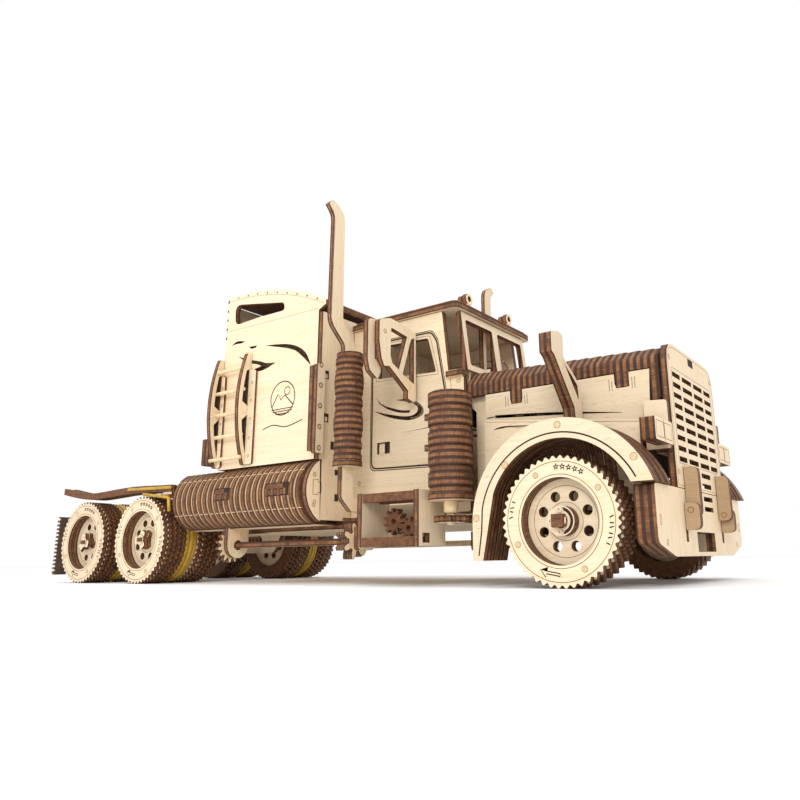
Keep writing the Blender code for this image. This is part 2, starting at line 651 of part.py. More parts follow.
def rear_axles(wood):
    for number, x in enumerate(REAR_AXLES_X, 1):
        phase = 0.5 if number == 2 else 0.0
        mesh = turned_mesh("axle", [(0, -67.4), (AXLE_R, -67.4), (AXLE_R, 67.4), (0, 67.4)],
                           (x, 0, AXLE_Z), "Y", 16)
        axle = add(f"rear_axle_{number}", mesh, wood, (x, 0, AXLE_Z))
        gear = plate_mesh("gear", "XZ", [gear_outline(x, AXLE_Z, AXLE_TEETH, phase)], GEAR_Y)
        gear.transform(Matrix.Translation((-x * MM, 0, -AXLE_Z * MM)))
        combine(axle, [gear])


def idler_gear(wood):
    """Gear between the two axle gears, on its own short shaft through both rails."""
    x = IDLER_X
    phase = 0.5
    mesh = turned_mesh("shaft", [(0, -26), (2.0, -26), (2.0, 26), (0, 26)], (x, 0, AXLE_Z), "Y", 12)
    shaft = add("idler_gear", mesh, wood, (x, 0, AXLE_Z))
    gear = plate_mesh("gear", "XZ", [gear_outline(x, AXLE_Z, IDLER_TEETH, phase)], GEAR_Y)
    gear.transform(Matrix.Translation((-x * MM, 0, -AXLE_Z * MM)))
    combine(shaft, [gear])


def fifth_wheel(wood):
    """Coupling plate with its throat, and two lugs that carry the tilting pin."""
    top = rounded([(-165, -8), (-152, -3.6), (-138, -3.6, 2), (-138, 3.6, 2), (-152, 3.6),
                   (-165, 8), (-160, 24, 4), (-116, 24, 10), (-116, -24, 10), (-160, -24, 4)])
    plate_top = plate("fifth_wheel", "XY", [top], (58.0, 61.0), wood, (-138.0, 0, 53.0))
    pieces = []
    for _, side in SIDES:
        lug = rounded([(-143, 59), (-142, 51, 3), (-134, 51, 3), (-133, 59)])
        pieces.append(plate_mesh("lug", "XZ", [lug], side_span(side, 11.6, 14.8)))
        ends = [(0, side * 14.0), (1.3, side * 14.0), (1.3, side * 20.6), (0, side * 20.6)]
        pieces.append(turned_mesh("pin", ends, (-138.0, 0, 53.0), "Y", 12))
    for piece in pieces:
        piece.transform(Matrix.Translation((138.0 * MM, 0, -53.0 * MM)))
    combine(plate_top, pieces)


def fan(wood):
    blades = 6
    points = []
    for k in range(blades):
        middle = 360 * k / blades
        points += arc(0, 62, 15.0, middle - 9, middle + 9, 3)
        points += arc(0, 62, 5.0, middle + 22, middle + 38, 1)
    made = plate("fan", "YZ", [points], (176.0, 179.0), wood, (177.0, 0, 62.0))
    hub = turned_mesh("hub", [(0, 166.6), (2.6, 166.6), (2.6, 181.0), (0, 181.0)], (0, 0, 62.0),
                      "X", 12)
    hub.transform(Matrix.Translation((-177.0 * MM, 0, -62.0 * MM)))
    combine(made, [hub])


def selector_shaft(wood):
    """Square shaft along the right side with a gear at its rear and a pinion at its front."""
    y, z = SHAFT_YZ
    shaft = plate("selector_shaft", "YZ", [box_outline(y - 1.6, y + 1.6, z - 1.6, z + 1.6)],
                  (-50.0, 59.5), wood, (0, y, z))
    pieces = [plate_mesh("gear", "YZ", [gear_outline(y, z, 15, 0, 1.1)], (-49.5, -46.5)),
              plate_mesh("pinion", "YZ", [gear_outline(y, z, 7, 0)], (40.0, 46.0))]
    for piece in pieces:
        piece.transform(Matrix.Translation((0, -y * MM, -z * MM)))
    combine(shaft, pieces)


def selector_bracket(wood):
    """Rounded hanger that carries the rear end of the selector shaft."""
    y, z = SHAFT_YZ
    outline = [(y + 7, 29.6), (y - 7, 29.6)] + arc(y, z, 7.0, 180, 360, 8)
    plate("selector_bracket", "YZ", [outline, circle(y, z, 2.7, 12)], (-44.5, -41.5), wood)


def build():
    clear_scene()
    ply = material("plywood", (0.86, 0.70, 0.47), 0.65)
    burnt = material("burnt_edge", (0.22, 0.09, 0.04), 0.75)
    for make in (chassis_floor, bumper, bumper_guards, grille_plate, headlights, front_fenders,
                 frame_rails, rear_crossmember, front_axle_beam, fifth_wheel_base, firewall,
                 cab_sides, cab_roof, windshield_frame, sleeper_walls, sleeper_sides, ladders,
                 step_boxes, hood_mirrors, doors, knuckles, tie_rod, fifth_wheel, fan,
                 selector_shaft, selector_bracket, engine_block, idler_gear):
        make(ply)
    for make in (mudguards, sleeper_roof, fuel_tanks, exhausts, air_cleaners, wheels, rear_axles,
                 hood):
        make(burnt)


build()
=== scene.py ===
"""Laminated plywood model truck, with its burnt edges, engraving and dowels.

Sizes are in millimetres and become metres as each mesh is made. A plate is an outline in one of
three planes with a thickness: XZ plates stand along the truck, YZ across it and XY lie flat.
"""
import math
import random

import bmesh
import bpy
from mathutils import Matrix, Vector


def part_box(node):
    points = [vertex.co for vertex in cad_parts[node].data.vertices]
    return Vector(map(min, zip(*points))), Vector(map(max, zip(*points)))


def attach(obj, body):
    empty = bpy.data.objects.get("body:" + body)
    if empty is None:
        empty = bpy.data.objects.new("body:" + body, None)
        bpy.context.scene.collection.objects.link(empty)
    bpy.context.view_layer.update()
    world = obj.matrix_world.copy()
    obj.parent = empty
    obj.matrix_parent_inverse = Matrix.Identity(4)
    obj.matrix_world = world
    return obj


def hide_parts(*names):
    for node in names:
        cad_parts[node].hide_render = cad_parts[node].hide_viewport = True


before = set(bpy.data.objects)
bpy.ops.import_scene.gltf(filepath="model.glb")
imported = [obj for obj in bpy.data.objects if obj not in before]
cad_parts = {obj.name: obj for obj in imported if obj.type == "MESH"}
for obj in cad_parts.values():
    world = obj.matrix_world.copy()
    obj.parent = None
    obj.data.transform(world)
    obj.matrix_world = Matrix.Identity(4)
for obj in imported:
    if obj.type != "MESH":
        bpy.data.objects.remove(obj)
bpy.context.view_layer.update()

MM = 0.001
SIDES = (("left", 1), ("right", -1))
PLANES = {
    "XZ": (1, Matrix(((1, 0, 0), (0, 0, -1), (0, 1, 0)))),
    "YZ": (0, Matrix(((0, 0, 1), (1, 0, 0), (0, 1, 0)))),
    "XY": (2, Matrix(((1, 0, 0), (0, 1, 0), (0, 0, 1)))),
}
PLY = 3.0
SEAM = 0.08                     # shadow gap between stacked plates
WHEEL_R = 24.9
AXLE_Z = WHEEL_R
FRONT_AXLE_X = 163.0
REAR_AXLES_X = (-107.7, -169.3)
WELL_R = 16.5
CAB_FACE = 36.0                 # outer faces, from the truck's middle or rear
SLEEPER_FACE = 60.0
FRONT_FACE = 199.0
BAND_REAR_X, BAND_FRONT_X, BAND_Z = -86.5, -58.5, 52.3
GUARD_JOIN = 24.7               # where the two plates of a bumper guard meet
RNG = random.Random(4)


# ---------------------------------------------------------------- materials

class Graph:
    """Material with a few short calls to build its nodes."""

    def __init__(self, name, roughness=0.6):
        self.material = bpy.data.materials.new(name)
        self.material.use_nodes = True
        self.tree = self.material.node_tree
        self.shader = self.tree.nodes["Principled BSDF"]
        self.shader.inputs["Roughness"].default_value = roughness

    def put(self, socket, value):
        if isinstance(value, bpy.types.NodeSocket):
            self.tree.links.new(value, socket)
        else:
            socket.default_value = value

    def node(self, kind, inputs, **settings):
        made = self.tree.nodes.new("ShaderNode" + kind)
        for key, value in settings.items():
            setattr(made, key, value)
        for key, value in inputs.items():
            self.put(made.inputs[key], value)
        return made

    def math(self, operation, first, second=0.0):
        return self.node("Math", {0: first, 1: second}, operation=operation).outputs[0]

    def place(self, scale=(1, 1, 1)):
        where = self.node("TexCoord", {}).outputs["Object"]
        return self.node("Mapping", {"Vector": where, "Scale": scale}).outputs[0]

    def noise(self, vector, scale=1.0, detail=3.0, roughness=0.5, distortion=0.0):
        return self.node("TexNoise", {"Vector": vector, "Scale": scale, "Detail": detail,
                                      "Roughness": roughness,
                                      "Distortion": distortion}).outputs["Fac"]

    def ramp(self, factor, *stops):
        made = self.node("ValToRGB", {"Fac": factor})
        elements = made.color_ramp.elements
        while len(elements) < len(stops):
            elements.new(0.5)
        for element, (place, colour) in zip(elements, stops):
            element.position = place
            element.color = (*colour, 1.0)
        return made.outputs[0]

    def mask(self, factor, start, end, most=1.0):
        """Grey that rises from none at the start to the most at the end."""
        return self.ramp(factor, (start, (0, 0, 0)), (end, (most, most, most)))

    def mix(self, factor, first, second, blend="MIX"):
        made = self.node("Mix", {}, data_type="RGBA", blend_type=blend)
        self.put(made.inputs[0], factor)
        self.put(made.inputs[6], first)
        self.put(made.inputs[7], second)
        return made.outputs[2]

    def bump(self, height, strength, distance):
        made = self.node("Bump", {"Height": height, "Strength": strength, "Distance": distance})
        self.put(self.shader.inputs["Normal"], made.outputs[0])

    def attribute(self, name):
        return self.node("Attribute", {}, attribute_name=name).outputs["Fac"]


CREAM = (0.84, 0.70, 0.50, 1)
STRAW = (0.67, 0.46, 0.25, 1)
SMOKE = (0.36, 0.16, 0.055, 1)
# painted shade: tan tint that darkens the bumper guards' faces, which stand in shadow
GUARD_SHADE_TINT = (0.52, 0.44, 0.36, 1)


def along(plane, fine, coarse, through):
    """Texture scale with the grain along X, or along Z in a plate that stands across."""
    return {"XZ": (coarse, through, fine), "YZ": (through, fine, coarse),
            "XY": (fine, coarse, through)}[plane]


def face_colour(graph, plane, tone):
    """Pale birch face: long fine grain, soft figure, small flecks and a stained streak."""
    fine = graph.noise(graph.place(along(plane, 900, 26, 60)), 1.0, 5.0, 0.6, 0.4)
    figure = graph.noise(graph.place(along(plane, 150, 7, 10)), 1.0, 3.0, 0.5, 1.6)
    fleck = graph.noise(graph.place(along(plane, 2600, 230, 400)), 1.0, 1.0)
    cloud = graph.noise(graph.place(), 34.0, 2.0)
    grain = graph.mix(graph.mask(fine, 0.35, 0.72), STRAW, CREAM)
    colour = graph.mix(0.42, CREAM, grain)
    colour = graph.mix(graph.mask(figure, 0.5, 0.75, 0.42), colour, (0.76, 0.52, 0.28, 1))
    colour = graph.mix(graph.mask(fleck, 0.66, 0.74, 0.4), colour, SMOKE)
    colour = graph.mix(graph.mask(cloud, 0.62, 0.78, 0.35), colour, (0.76, 0.44, 0.19, 1))
    shade = graph.math("ADD", graph.math("MULTIPLY", tone, 0.10), 0.96)
    return graph.mix(1.0, colour, shade, "MULTIPLY"), fine


def edge_colour(graph, plane, depth):
    """Laser-burnt edge: char over the outer veneers, with amber lines between the layers."""
    layer = graph.math("FRACT", depth)
    stripes = graph.ramp(layer, (0.0, (0.030, 0.010, 0.004)), (0.18, (0.080, 0.027, 0.009)),
                         (0.34, (0.36, 0.160, 0.052)), (0.47, (0.24, 0.098, 0.031)),
                         (0.60, (0.34, 0.150, 0.048)), (0.74, (0.085, 0.028, 0.009)),
                         (1.0, (0.032, 0.010, 0.004)))
    scorch = graph.noise(graph.place(), 150.0, 4.0, 0.65)
    fibre = graph.noise(graph.place(along(plane, 1500, 1500, 160)), 1.0, 3.0, 0.7)
    mixed = graph.mix(graph.mask(scorch, 0.40, 0.66, 0.80), stripes, (0.070, 0.022, 0.007, 1))
    dark = graph.ramp(fibre, (0.3, (0.48, 0.45, 0.43)), (0.7, (1.2, 1.17, 1.14)))
    return graph.mix(1.0, mixed, dark, "MULTIPLY"), fibre


def face_material(plane):
    graph = Graph("ply_face_" + plane)
    colour, fine = face_colour(graph, plane, graph.attribute("tone"))
    graph.put(graph.shader.inputs["Base Color"], colour)
    graph.put(graph.shader.inputs["Roughness"],
              graph.math("ADD", graph.math("MULTIPLY", fine, 0.25), 0.45))
    graph.bump(fine, 0.25, 0.00006)
    return graph.material


def edge_material(plane):
    graph = Graph("burnt_edge_" + plane, 0.72)
    colour, fibre = edge_colour(graph, plane, graph.attribute("depth"))
    graph.put(graph.shader.inputs["Base Color"], colour)
    graph.bump(fibre, 0.5, 0.00012)
    return graph.material


def cad_material(plane, low, guard_in_shade=False):
    """Both looks for a CAD plate: the face where it looks along the thickness, else the edge."""
    graph = Graph(f"ply_{plane}_{round(low * 1e5)}")
    axis = PLANES[plane][0]
    where = graph.node("SeparateXYZ", {0: graph.place()}).outputs[axis]
    depth = graph.math("DIVIDE", graph.math("SUBTRACT", where, low), PLY * MM)
    normal = graph.node("TexCoord", {}).outputs["Normal"]
    facing = graph.math("ABSOLUTE", graph.node("SeparateXYZ", {0: normal}).outputs[axis])
    is_face = graph.math("GREATER_THAN", facing, 0.8)
    face, fine = face_colour(graph, plane, 0.0)
    # painted shade: with the flag set, the face is darkened by the tan tint for a plate that stands in
    # shadow
    if guard_in_shade:
        face = graph.mix(1.0, face, GUARD_SHADE_TINT, "MULTIPLY")
    edge, fibre = edge_colour(graph, plane, depth)
    graph.put(graph.shader.inputs["Base Color"], graph.mix(is_face, edge, face))
    graph.put(graph.shader.inputs["Roughness"],
              graph.math("SUBTRACT", 0.74, graph.math("MULTIPLY", is_face, 0.18)))
    graph.bump(graph.math("ADD", fine, fibre), 0.25, 0.00008)
    return graph.material


def plain_material(name, dark, light, scale, roughness):
    """Small solid finishes: two close colours mixed by noise, with a fine bump."""
    graph = Graph(name, roughness)
    spots = graph.noise(graph.place(), scale, 4.0, 0.6)
    graph.put(graph.shader.inputs["Base Color"], graph.ramp(spots, (0.3, dark), (0.7, light)))
    graph.bump(spots, 0.3, 0.00008)
    return graph.material


FACE = {plane: face_material(plane) for plane in PLANES}
EDGE = {plane: edge_material(plane) for plane in PLANES}
INK = plain_material("engraving", (0.012, 0.005, 0.003), (0.05, 0.018, 0.008), 700, 0.9)
LINE = plain_material("light_engraving", (0.13, 0.05, 0.02), (0.30, 0.13, 0.05), 700, 0.8)
BURN = plain_material("burnt_face", (0.075, 0.026, 0.009), (0.20, 0.078, 0.026), 420, 0.75)
TOAST = plain_material("toast_brown_face", (0.40, 0.25, 0.125), (0.60, 0.41, 0.22), 240, 0.62)
# painted shade: dark brown face for the rear cross plate, whose mud flaps face forward into shadow
FLAP_SHADE = plain_material("painted_shade_face", (0.055, 0.034, 0.020), (0.13, 0.085, 0.052), 240, 0.7)
DOWEL = plain_material("dowel_end", (0.52, 0.36, 0.19), (0.70, 0.54, 0.32), 1500, 0.7)
RUNG = plain_material("dowel_rod", (0.66, 0.49, 0.28), (0.84, 0.68, 0.44), 300, 0.55)
RUBBER = plain_material("rubber_band", (0.36, 0.20, 0.012), (0.62, 0.37, 0.03), 160, 0.42)
# painted shade: near-black fill for slots, gaps and backing sheets, where only shade shows
SHADE_FILL = plain_material("painted_shade_fill", (0.010, 0.004, 0.002), (0.035, 0.012, 0.005), 260, 0.85)


# ---------------------------------------------------------------- outlines

def arc(cx, cy, radius, start, end, count):
    """Points on a circle from one angle to another, in degrees."""
    step = (end - start) / count
    angles = [math.radians(start + step * i) for i in range(count + 1)]
    return [(cx + radius * math.cos(a), cy + radius * math.sin(a)) for a in angles]


def circle(cx, cy, radius, count=32):
    return arc(cx, cy, radius, 0, 360, count)[:-1]


def arc_through(first, middle, last, count):
    """Points on the circle through three points, from the first to the last."""
    (ax, ay), (bx, by), (cx, cy) = first, middle, last
    double = 2 * (ax * (by - cy) + bx * (cy - ay) + cx * (ay - by))
    from_a, from_b, from_c = (u * u + v * v for u, v in (first, middle, last))
    centre_u = (from_a * (by - cy) + from_b * (cy - ay) + from_c * (ay - by)) / double
    centre_v = (from_a * (cx - bx) + from_b * (ax - cx) + from_c * (bx - ax)) / double
    start = math.degrees(math.atan2(ay - centre_v, ax - centre_u))
    end = math.degrees(math.atan2(cy - centre_v, cx - centre_u))
    return arc(centre_u, centre_v, math.hypot(ax - centre_u, ay - centre_v), start, end, count)


def rounded(corners, steps=4):
    """Outline from corners (u, v) or (u, v, radius), with each radius cut as short chords."""
    points = []
    total = len(corners)
    for i, corner in enumerate(corners):
        u, v = corner[:2]
        if len(corner) == 2:
            points.append((u, v))
            continue
        before, after = corners[i - 1], corners[(i + 1) % total]
        d1 = Vector((before[0] - u, before[1] - v))
        d2 = Vector((after[0] - u, after[1] - v))
        half = d1.angle(d2) / 2
        reach = min(corner[2] / math.tan(half), 0.45 * d1.length, 0.45 * d2.length)
        p1 = Vector((u, v)) + d1.normalized() * reach
        p2 = Vector((u, v)) + d2.normalized() * reach
        for k in range(steps + 1):
            t = k / steps
            points.append(tuple((1 - t) ** 2 * a + 2 * t * (1 - t) * c + t * t * b
                                for a, c, b in zip(p1, (u, v), p2)))
    return points


def box_outline(u0, u1, v0, v1, radius=0):
    corners = [(u0, v0), (u1, v0), (u1, v1), (u0, v1)]
    return rounded([(*corner, radius) for corner in corners]) if radius else corners


def mirrored(half):
    """A closed outline from its half at positive u, listed from the bottom to the top."""
    kept = [(u, v) for u, v in half if u > 0]
    return kept + [(-u, v) for u, v in reversed(kept)]


def flip(loop, side):
    return [(side * u, v) for u, v in loop]


def curve(points, count=8):
    """Smooth line through the given points."""
    ends = [points[0], *points, points[-1]]
    line = []
    for p0, p1, p2, p3 in zip(ends, ends[1:], ends[2:], ends[3:]):
        for k in range(count):
            t = k / count
            line.append(tuple(0.5 * (2 * b + (c - a) * t + (2 * a - 5 * b + 4 * c - d) * t * t
                                     + (3 * b - a - 3 * c + d) * t ** 3)
                              for a, b, c, d in zip(p0, p1, p2, p3)))
    return line + [points[-1]]


def stroke(points, width):
    """Outline of a line of the given width along the points."""
    left, right = [], []
    for i, (u, v) in enumerate(points):
        before, after = points[max(0, i - 1)], points[min(len(points) - 1, i + 1)]
        du, dv = after[0] - before[0], after[1] - before[1]
        size = math.hypot(du, dv)
        nu, nv = -dv / size * width / 2, du / size * width / 2
        left.append((u + nu, v + nv))
        right.append((u - nu, v - nv))
    return left + right[::-1]


def wave_circle(cx, cy, radius, depth, phase, waves=48, per=6):
    """Scalloped tyre outline."""
    points = []
    for k in range(waves * per):
        angle = 2 * math.pi * k / (waves * per)
        reach = radius - depth / 2 + depth / 2 * math.cos(waves * angle + phase)
        points.append((cx + reach * math.cos(angle), cy + reach * math.sin(angle)))
    return points


def gear_outline(cx, cy, teeth, module, phase=0.0):
    """Gear with straight-flanked teeth."""
    pitch_r = module * teeth / 2
    turn = 2 * math.pi / teeth
    steps = ((pitch_r - 1.1 * module, 0.30), (pitch_r - 0.4 * module, 0.25),
             (pitch_r + 0.3 * module, 0.18), (pitch_r + 0.85 * module, 0.10))
    points = []
    for k in range(teeth):
        middle = turn * (k + phase)
        for radius, angle in [(r, middle - turn * h) for r, h in steps] \
                + [(r, middle + turn * h) for r, h in reversed(steps)]:
            points.append((cx + radius * math.cos(angle), cy + radius * math.sin(angle)))
    return points


# ---------------------------------------------------------------- mesh building

class Piece:
    """One visible piece, gathered from plates and turned solids.

    With side -1 everything is given as for the left side of the truck and made on the right.
    """

    def __init__(self, name, body, side=1):
        self.name, self.body, self.side = name, body, side
        self.points, self.faces, self.finish, self.smooth = [], [], [], []
        self.depth, self.tone, self.materials = [], [], []

    def index(self, material):
        if material not in self.materials:
            self.materials.append(material)
        return self.materials.index(material)

    def take(self, points, faces, finish, smooth, depth, tone):
        start = len(self.points)
        self.points += points
        self.faces += [tuple(start + i for i in face) for face in faces]
        self.finish += finish
        self.smooth += [smooth] * len(faces)
        self.depth += depth
        self.tone += [tone] * len(points)

    def plate(self, plane, loops, span, face=None, edge=None, move=None):
        """Flat plate with holes, filled between its loops, and with burnt sides."""
        axis, turn = PLANES[plane]
        u_side, v_side, span_side = {"XZ": (1, 1, self.side), "YZ": (self.side, 1, 1),
                                     "XY": (1, self.side, 1)}[plane]
        span = [span_side * level for level in span]
        low, high = min(span), max(span)
        outline = bpy.data.curves.new("outline", "CURVE")
        outline.dimensions = "2D"
        outline.fill_mode = "BOTH"
        outline.extrude = (high - low) / 2
        for loop in loops:
            spline = outline.splines.new("POLY")
            spline.points.add(len(loop) - 1)
            spline.use_cyclic_u = True
            for point, (u, v) in zip(spline.points, loop):
                point.co = (u_side * u, v_side * v, 0, 1)
        holder = bpy.data.objects.new("outline", outline)
        mesh = bpy.data.meshes.new_from_object(holder)
        bpy.data.objects.remove(holder)
        bpy.data.curves.remove(outline)
        middle = (low + high) / 2 * (-1 if plane == "XZ" else 1)
        mesh.transform(turn.to_4x4() @ Matrix.Translation((0, 0, middle)))
        shape = bmesh.new()
        shape.from_mesh(mesh)
        bpy.data.meshes.remove(mesh)
        bmesh.ops.remove_doubles(shape, verts=shape.verts, dist=1e-4)
        bmesh.ops.recalc_face_normals(shape, faces=shape.faces)
        cap = self.index(face or FACE[plane])
        side = self.index(edge or EDGE[plane])
        depth = [(v.co[axis] - low) / PLY * 0.999 for v in shape.verts]
        finish = [cap if abs(f.normal[axis]) > 0.5 else side for f in shape.faces]
        if move:
            shape.transform(move)
        points = [v.co * MM for v in shape.verts]
        faces = [[v.index for v in f.verts] for f in shape.faces]
        shape.free()
        self.take(points, faces, finish, False, depth, RNG.uniform(-1, 1))

    def mark(self, plane, loops, level, material=None, rise=0.05):
        """Engraved shape: a skin that stands barely proud of a face at the level."""
        ink = material or INK
        self.plate(plane, loops, (level - rise, level + rise), ink, ink)

    def line(self, plane, points, width, level, material=None, closed=False):
        """Engraved line along the points, which may join up."""
        route = points + points[:1] if closed else points
        self.mark(plane, [stroke(route, width)], level, material)

    def rings(self, plane, centre, radii, level, width=0.22, material=None):
        for radius in radii:
            self.mark(plane, [circle(*centre, radius + width / 2, 56),
                              circle(*centre, radius - width / 2, 56)], level, material or LINE)

    def dowels(self, plane, centres, level, radius=1.3):
        """Flush ends of dowels, each with its own thin burnt outline."""
        for centre in centres:
            self.mark(plane, [circle(*centre, radius, 20)], level, DOWEL, 0.07)
            self.rings(plane, centre, [radius + 0.1], level, 0.16)

    def turned(self, profile, centre, axis, material, count=24):
        """Solid of revolution from a closed profile of (radius, distance along the axis)."""
        shape = bmesh.new()
        rings = []
        for radius, far in profile:
            ring = []
            for k in range(count if radius > 0 else 1):
                angle = 2 * math.pi * k / count
                u, v = radius * math.cos(angle), radius * math.sin(angle)
                offset = {"X": (far, u, v), "Y": (u, far, v), "Z": (u, v, far)}[axis]
                spot = [c + o for c, o in zip(centre, offset)]
                ring.append(shape.verts.new((spot[0], self.side * spot[1], spot[2])))
            rings.append(ring)
        for a, b in zip(rings, rings[1:] + rings[:1]):
            for k in range(count):
                corners = [a[k % len(a)], a[(k + 1) % len(a)], b[(k + 1) % len(b)], b[k % len(b)]]
                unique = list(dict.fromkeys(corners))
                if len(unique) > 2:
                    shape.faces.new(unique)
        bmesh.ops.recalc_face_normals(shape, faces=shape.faces)
        shape.verts.index_update()
        points = [v.co * MM for v in shape.verts]
        faces = [[v.index for v in f.verts] for f in shape.faces]
        shape.free()
        self.take(points, faces, [self.index(material)] * len(faces), True,
                  [0.3] * len(points), RNG.uniform(-1, 1))

    def rod(self, start, end, radius, material, count=12):
        """Round rod between two points, with slightly rounded ends."""
        first, last = (Vector((x, self.side * y, z)) for x, y, z in (start, end))
        line = last - first
        turn = Vector((0, 0, 1)).rotation_difference(line).to_matrix()
        profile = [(0, 0), (radius * 0.8, 0), (radius, radius * 0.25),
                   (radius, line.length - radius * 0.25), (radius * 0.8, line.length),
                   (0, line.length)]
        before = len(self.points)
        self.turned(profile, (0, 0, 0), "Z", material, count)
        for i in range(before, len(self.points)):
            self.points[i] = (turn @ self.points[i]) + first * MM

    def done(self, *nodes, slot="plywood_face", bevel=0.12):
        mesh = bpy.data.meshes.new(self.name)
        mesh.from_pydata([tuple(point) for point in self.points], [], self.faces)
        for material in self.materials:
            mesh.materials.append(material)
        mesh.polygons.foreach_set("material_index", self.finish)
        mesh.polygons.foreach_set("use_smooth", self.smooth)
        for name, values in (("depth", self.depth), ("tone", self.tone)):
            mesh.attributes.new(name, "FLOAT", "POINT").data.foreach_set("value", values)
        made = bpy.data.objects.new(self.name, mesh)
        bpy.context.collection.objects.link(made)
        if bevel:
            modifier = made.modifiers.new("soft_edges", "BEVEL")
            modifier.width = bevel * MM
            modifier.segments = 1
            modifier.limit_method = "ANGLE"
            modifier.angle_limit = math.radians(60)
        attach(made, self.body)
        if nodes:
            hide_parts(*nodes)


# ---------------------------------------------------------------- wheels

def star(cu, cv, radius):
    points = []
    for k in range(10):
        reach = radius if k % 2 == 0 else radius * 0.45
        angle = math.pi / 2 + math.pi * k / 5
        points.append((cu + reach * math.cos(angle), cv + reach * math.sin(angle)))
    return points


def polar(x, radius, degrees):
    angle = math.radians(degrees)
    return x + radius * math.cos(angle), AXLE_Z + radius * math.sin(angle)


def tyre_stack(piece, x, inner, outer, first=0):
    """Plates with scalloped rims, each turned half a wave against the last; one face is pale."""
    layers = round((outer - inner) / PLY)
    pitch = (outer - inner) / layers
    for k in range(layers):
        start = inner + k * pitch
        phase = math.pi * ((k + first) % 2)
        loops = [wave_circle(x, AXLE_Z, WHEEL_R, 1.35, phase), circle(x, AXLE_Z, WELL_R, 64)]
        piece.plate("XZ", loops, (start, start + pitch - SEAM), None if k >= layers - 2 else BURN)


def tyre_wall(piece, x, level):
    """Engraving on the outer face of a tyre: circles, stars, ticks, an arrow and dowels."""
    piece.rings("XZ", (x, AXLE_Z), (22.6, 17.6), level, 0.26)
    for k in range(5):
        spot = polar(x, 20.5, 90 + piece.side * (14 + 7.5 * (k - 2)))
        piece.mark("XZ", [star(*spot, 1.45), star(*spot, 0.55)], level)
    for start, count in ((-25, 6), (158, 4)):
        for k in range(count):
            turn = start + 5.2 * k
            tick = [polar(x, 20.3, turn), polar(x, 21.9, turn + (2.0 if k % 2 else 0.0))]
            piece.line("XZ", tick, 0.5, level)
    arrow = [polar(x, 19.4, 268), polar(x, 20.4, 268), polar(x, 20.4, 252), polar(x, 21.8, 252),
             polar(x, 19.9, 244), polar(x, 18.0, 252), polar(x, 19.4, 252), polar(x, 19.4, 268)]
    piece.line("XZ", arrow, 0.42, level)
    piece.dowels("XZ", [polar(x, 20.1, a) for a in (35, 118, 205, 298)], level, 1.05)


def rim_holes(x, count):
    return [circle(*polar(x, 10.2, 22.5 + 45 * k), 2.05, count) for k in range(8)]


def rim_disc(piece, x, span):
    loops = [circle(x, AXLE_Z, 16.35, 64), *rim_holes(x, 20), circle(x, AXLE_Z, 3.4, 24)]
    piece.plate("XZ", loops, span)
    piece.rings("XZ", (x, AXLE_Z), (13.6, 7.3), span[1], 0.2)


def hub_nuts(piece, x, level, angles):
    for angle in angles:
        spot = polar(x, 4.25, angle)
        outer = arc(*spot, 1.25, 0, 360, 6)[:-1]
        piece.plate("XZ", [outer, circle(*spot, 0.62, 12)], (level - 0.1, level + 0.35))


def front_wheel(word, side):
    x = FRONT_AXLE_X
    piece = Piece(f"front_tyre_{word}", f"front_wheel_{word}", side)
    tyre_stack(piece, x, 47.6, 65.6)
    tyre_wall(piece, x, 65.52)
    rim_disc(piece, x, (56.2, 60.0))
    hub = [circle(x, AXLE_Z, 5.7, 36), circle(x, AXLE_Z, 2.8, 24)]
    piece.plate("XZ", hub, (60.05, 62.4))
    piece.plate("XZ", hub, (62.45, 64.2))
    crescent = arc(x, AXLE_Z, 5.2, -80, 80, 16) + arc(x, AXLE_Z, 4.0, 70, -70, 14)
    piece.mark("XZ", [crescent], 64.2)
    hub_nuts(piece, x, 64.2, (95, 180, 265))
    piece.done(f"front_wheel_{word}")


def dog_outline(x, reach, turn):
    """Three hooked teeth, like a dog clutch."""
    points = []
    for k in range(3):
        base = turn + 120 * k
        for radius, angle in ((reach, 0), (reach, 34), (reach * 0.74, 48), (reach * 0.42, 60),
                              (reach * 0.42, 96), (reach * 0.8, 104)):
            points.append(polar(x, radius, base + angle))
    return points


def rear_dual(number, x, word, side):
    piece = Piece(f"rear_tyres_{number}_{word}", f"rear_axle_{number}", side)
    tyre_stack(piece, x, 29.0, 45.4, 1)
    tyre_stack(piece, x, 53.4, 68.3)
    piece.plate("XZ", [circle(x, AXLE_Z, 21.6, 64), circle(x, AXLE_Z, WELL_R, 64)], (45.45, 53.3), BURN)
    tyre_wall(piece, x, 68.22)
    rim_disc(piece, x, (59.4, 62.4))
    inner = [circle(x, AXLE_Z, 16.3, 48), circle(x, AXLE_Z, 3.4, 24), *rim_holes(x, 16)]
    piece.plate("XZ", inner, (31.0, 34.0))
    for start in (62.45, 64.9):
        piece.plate("XZ", [dog_outline(x, 5.6, 40 * number + 8 * (start > 64)),
                           circle(x, AXLE_Z, 3.15, 20)], (start, start + 2.35))
    piece.done(f"rear_wheel_{number}_{word}")


def rear_bands(number, x, word, side):
    """Three rubber rings between the two tyres."""
    band = Piece(f"rear_band_{number}_{word}", f"rear_axle_{number}", side)
    for centre, lift in ((47.0, 23.2), (49.4, 23.7), (51.9, 23.3)):
        profile = [(lift + 0.95 * u, centre + 1.25 * v) for u, v in circle(0, 0, 1, 10)]
        band.turned(profile, (x, 0, AXLE_Z), "Y", RUBBER, 64)
    band.done(bevel=0, slot="burnt_edge")


# ---------------------------------------------------------------- wings, bonnet and front

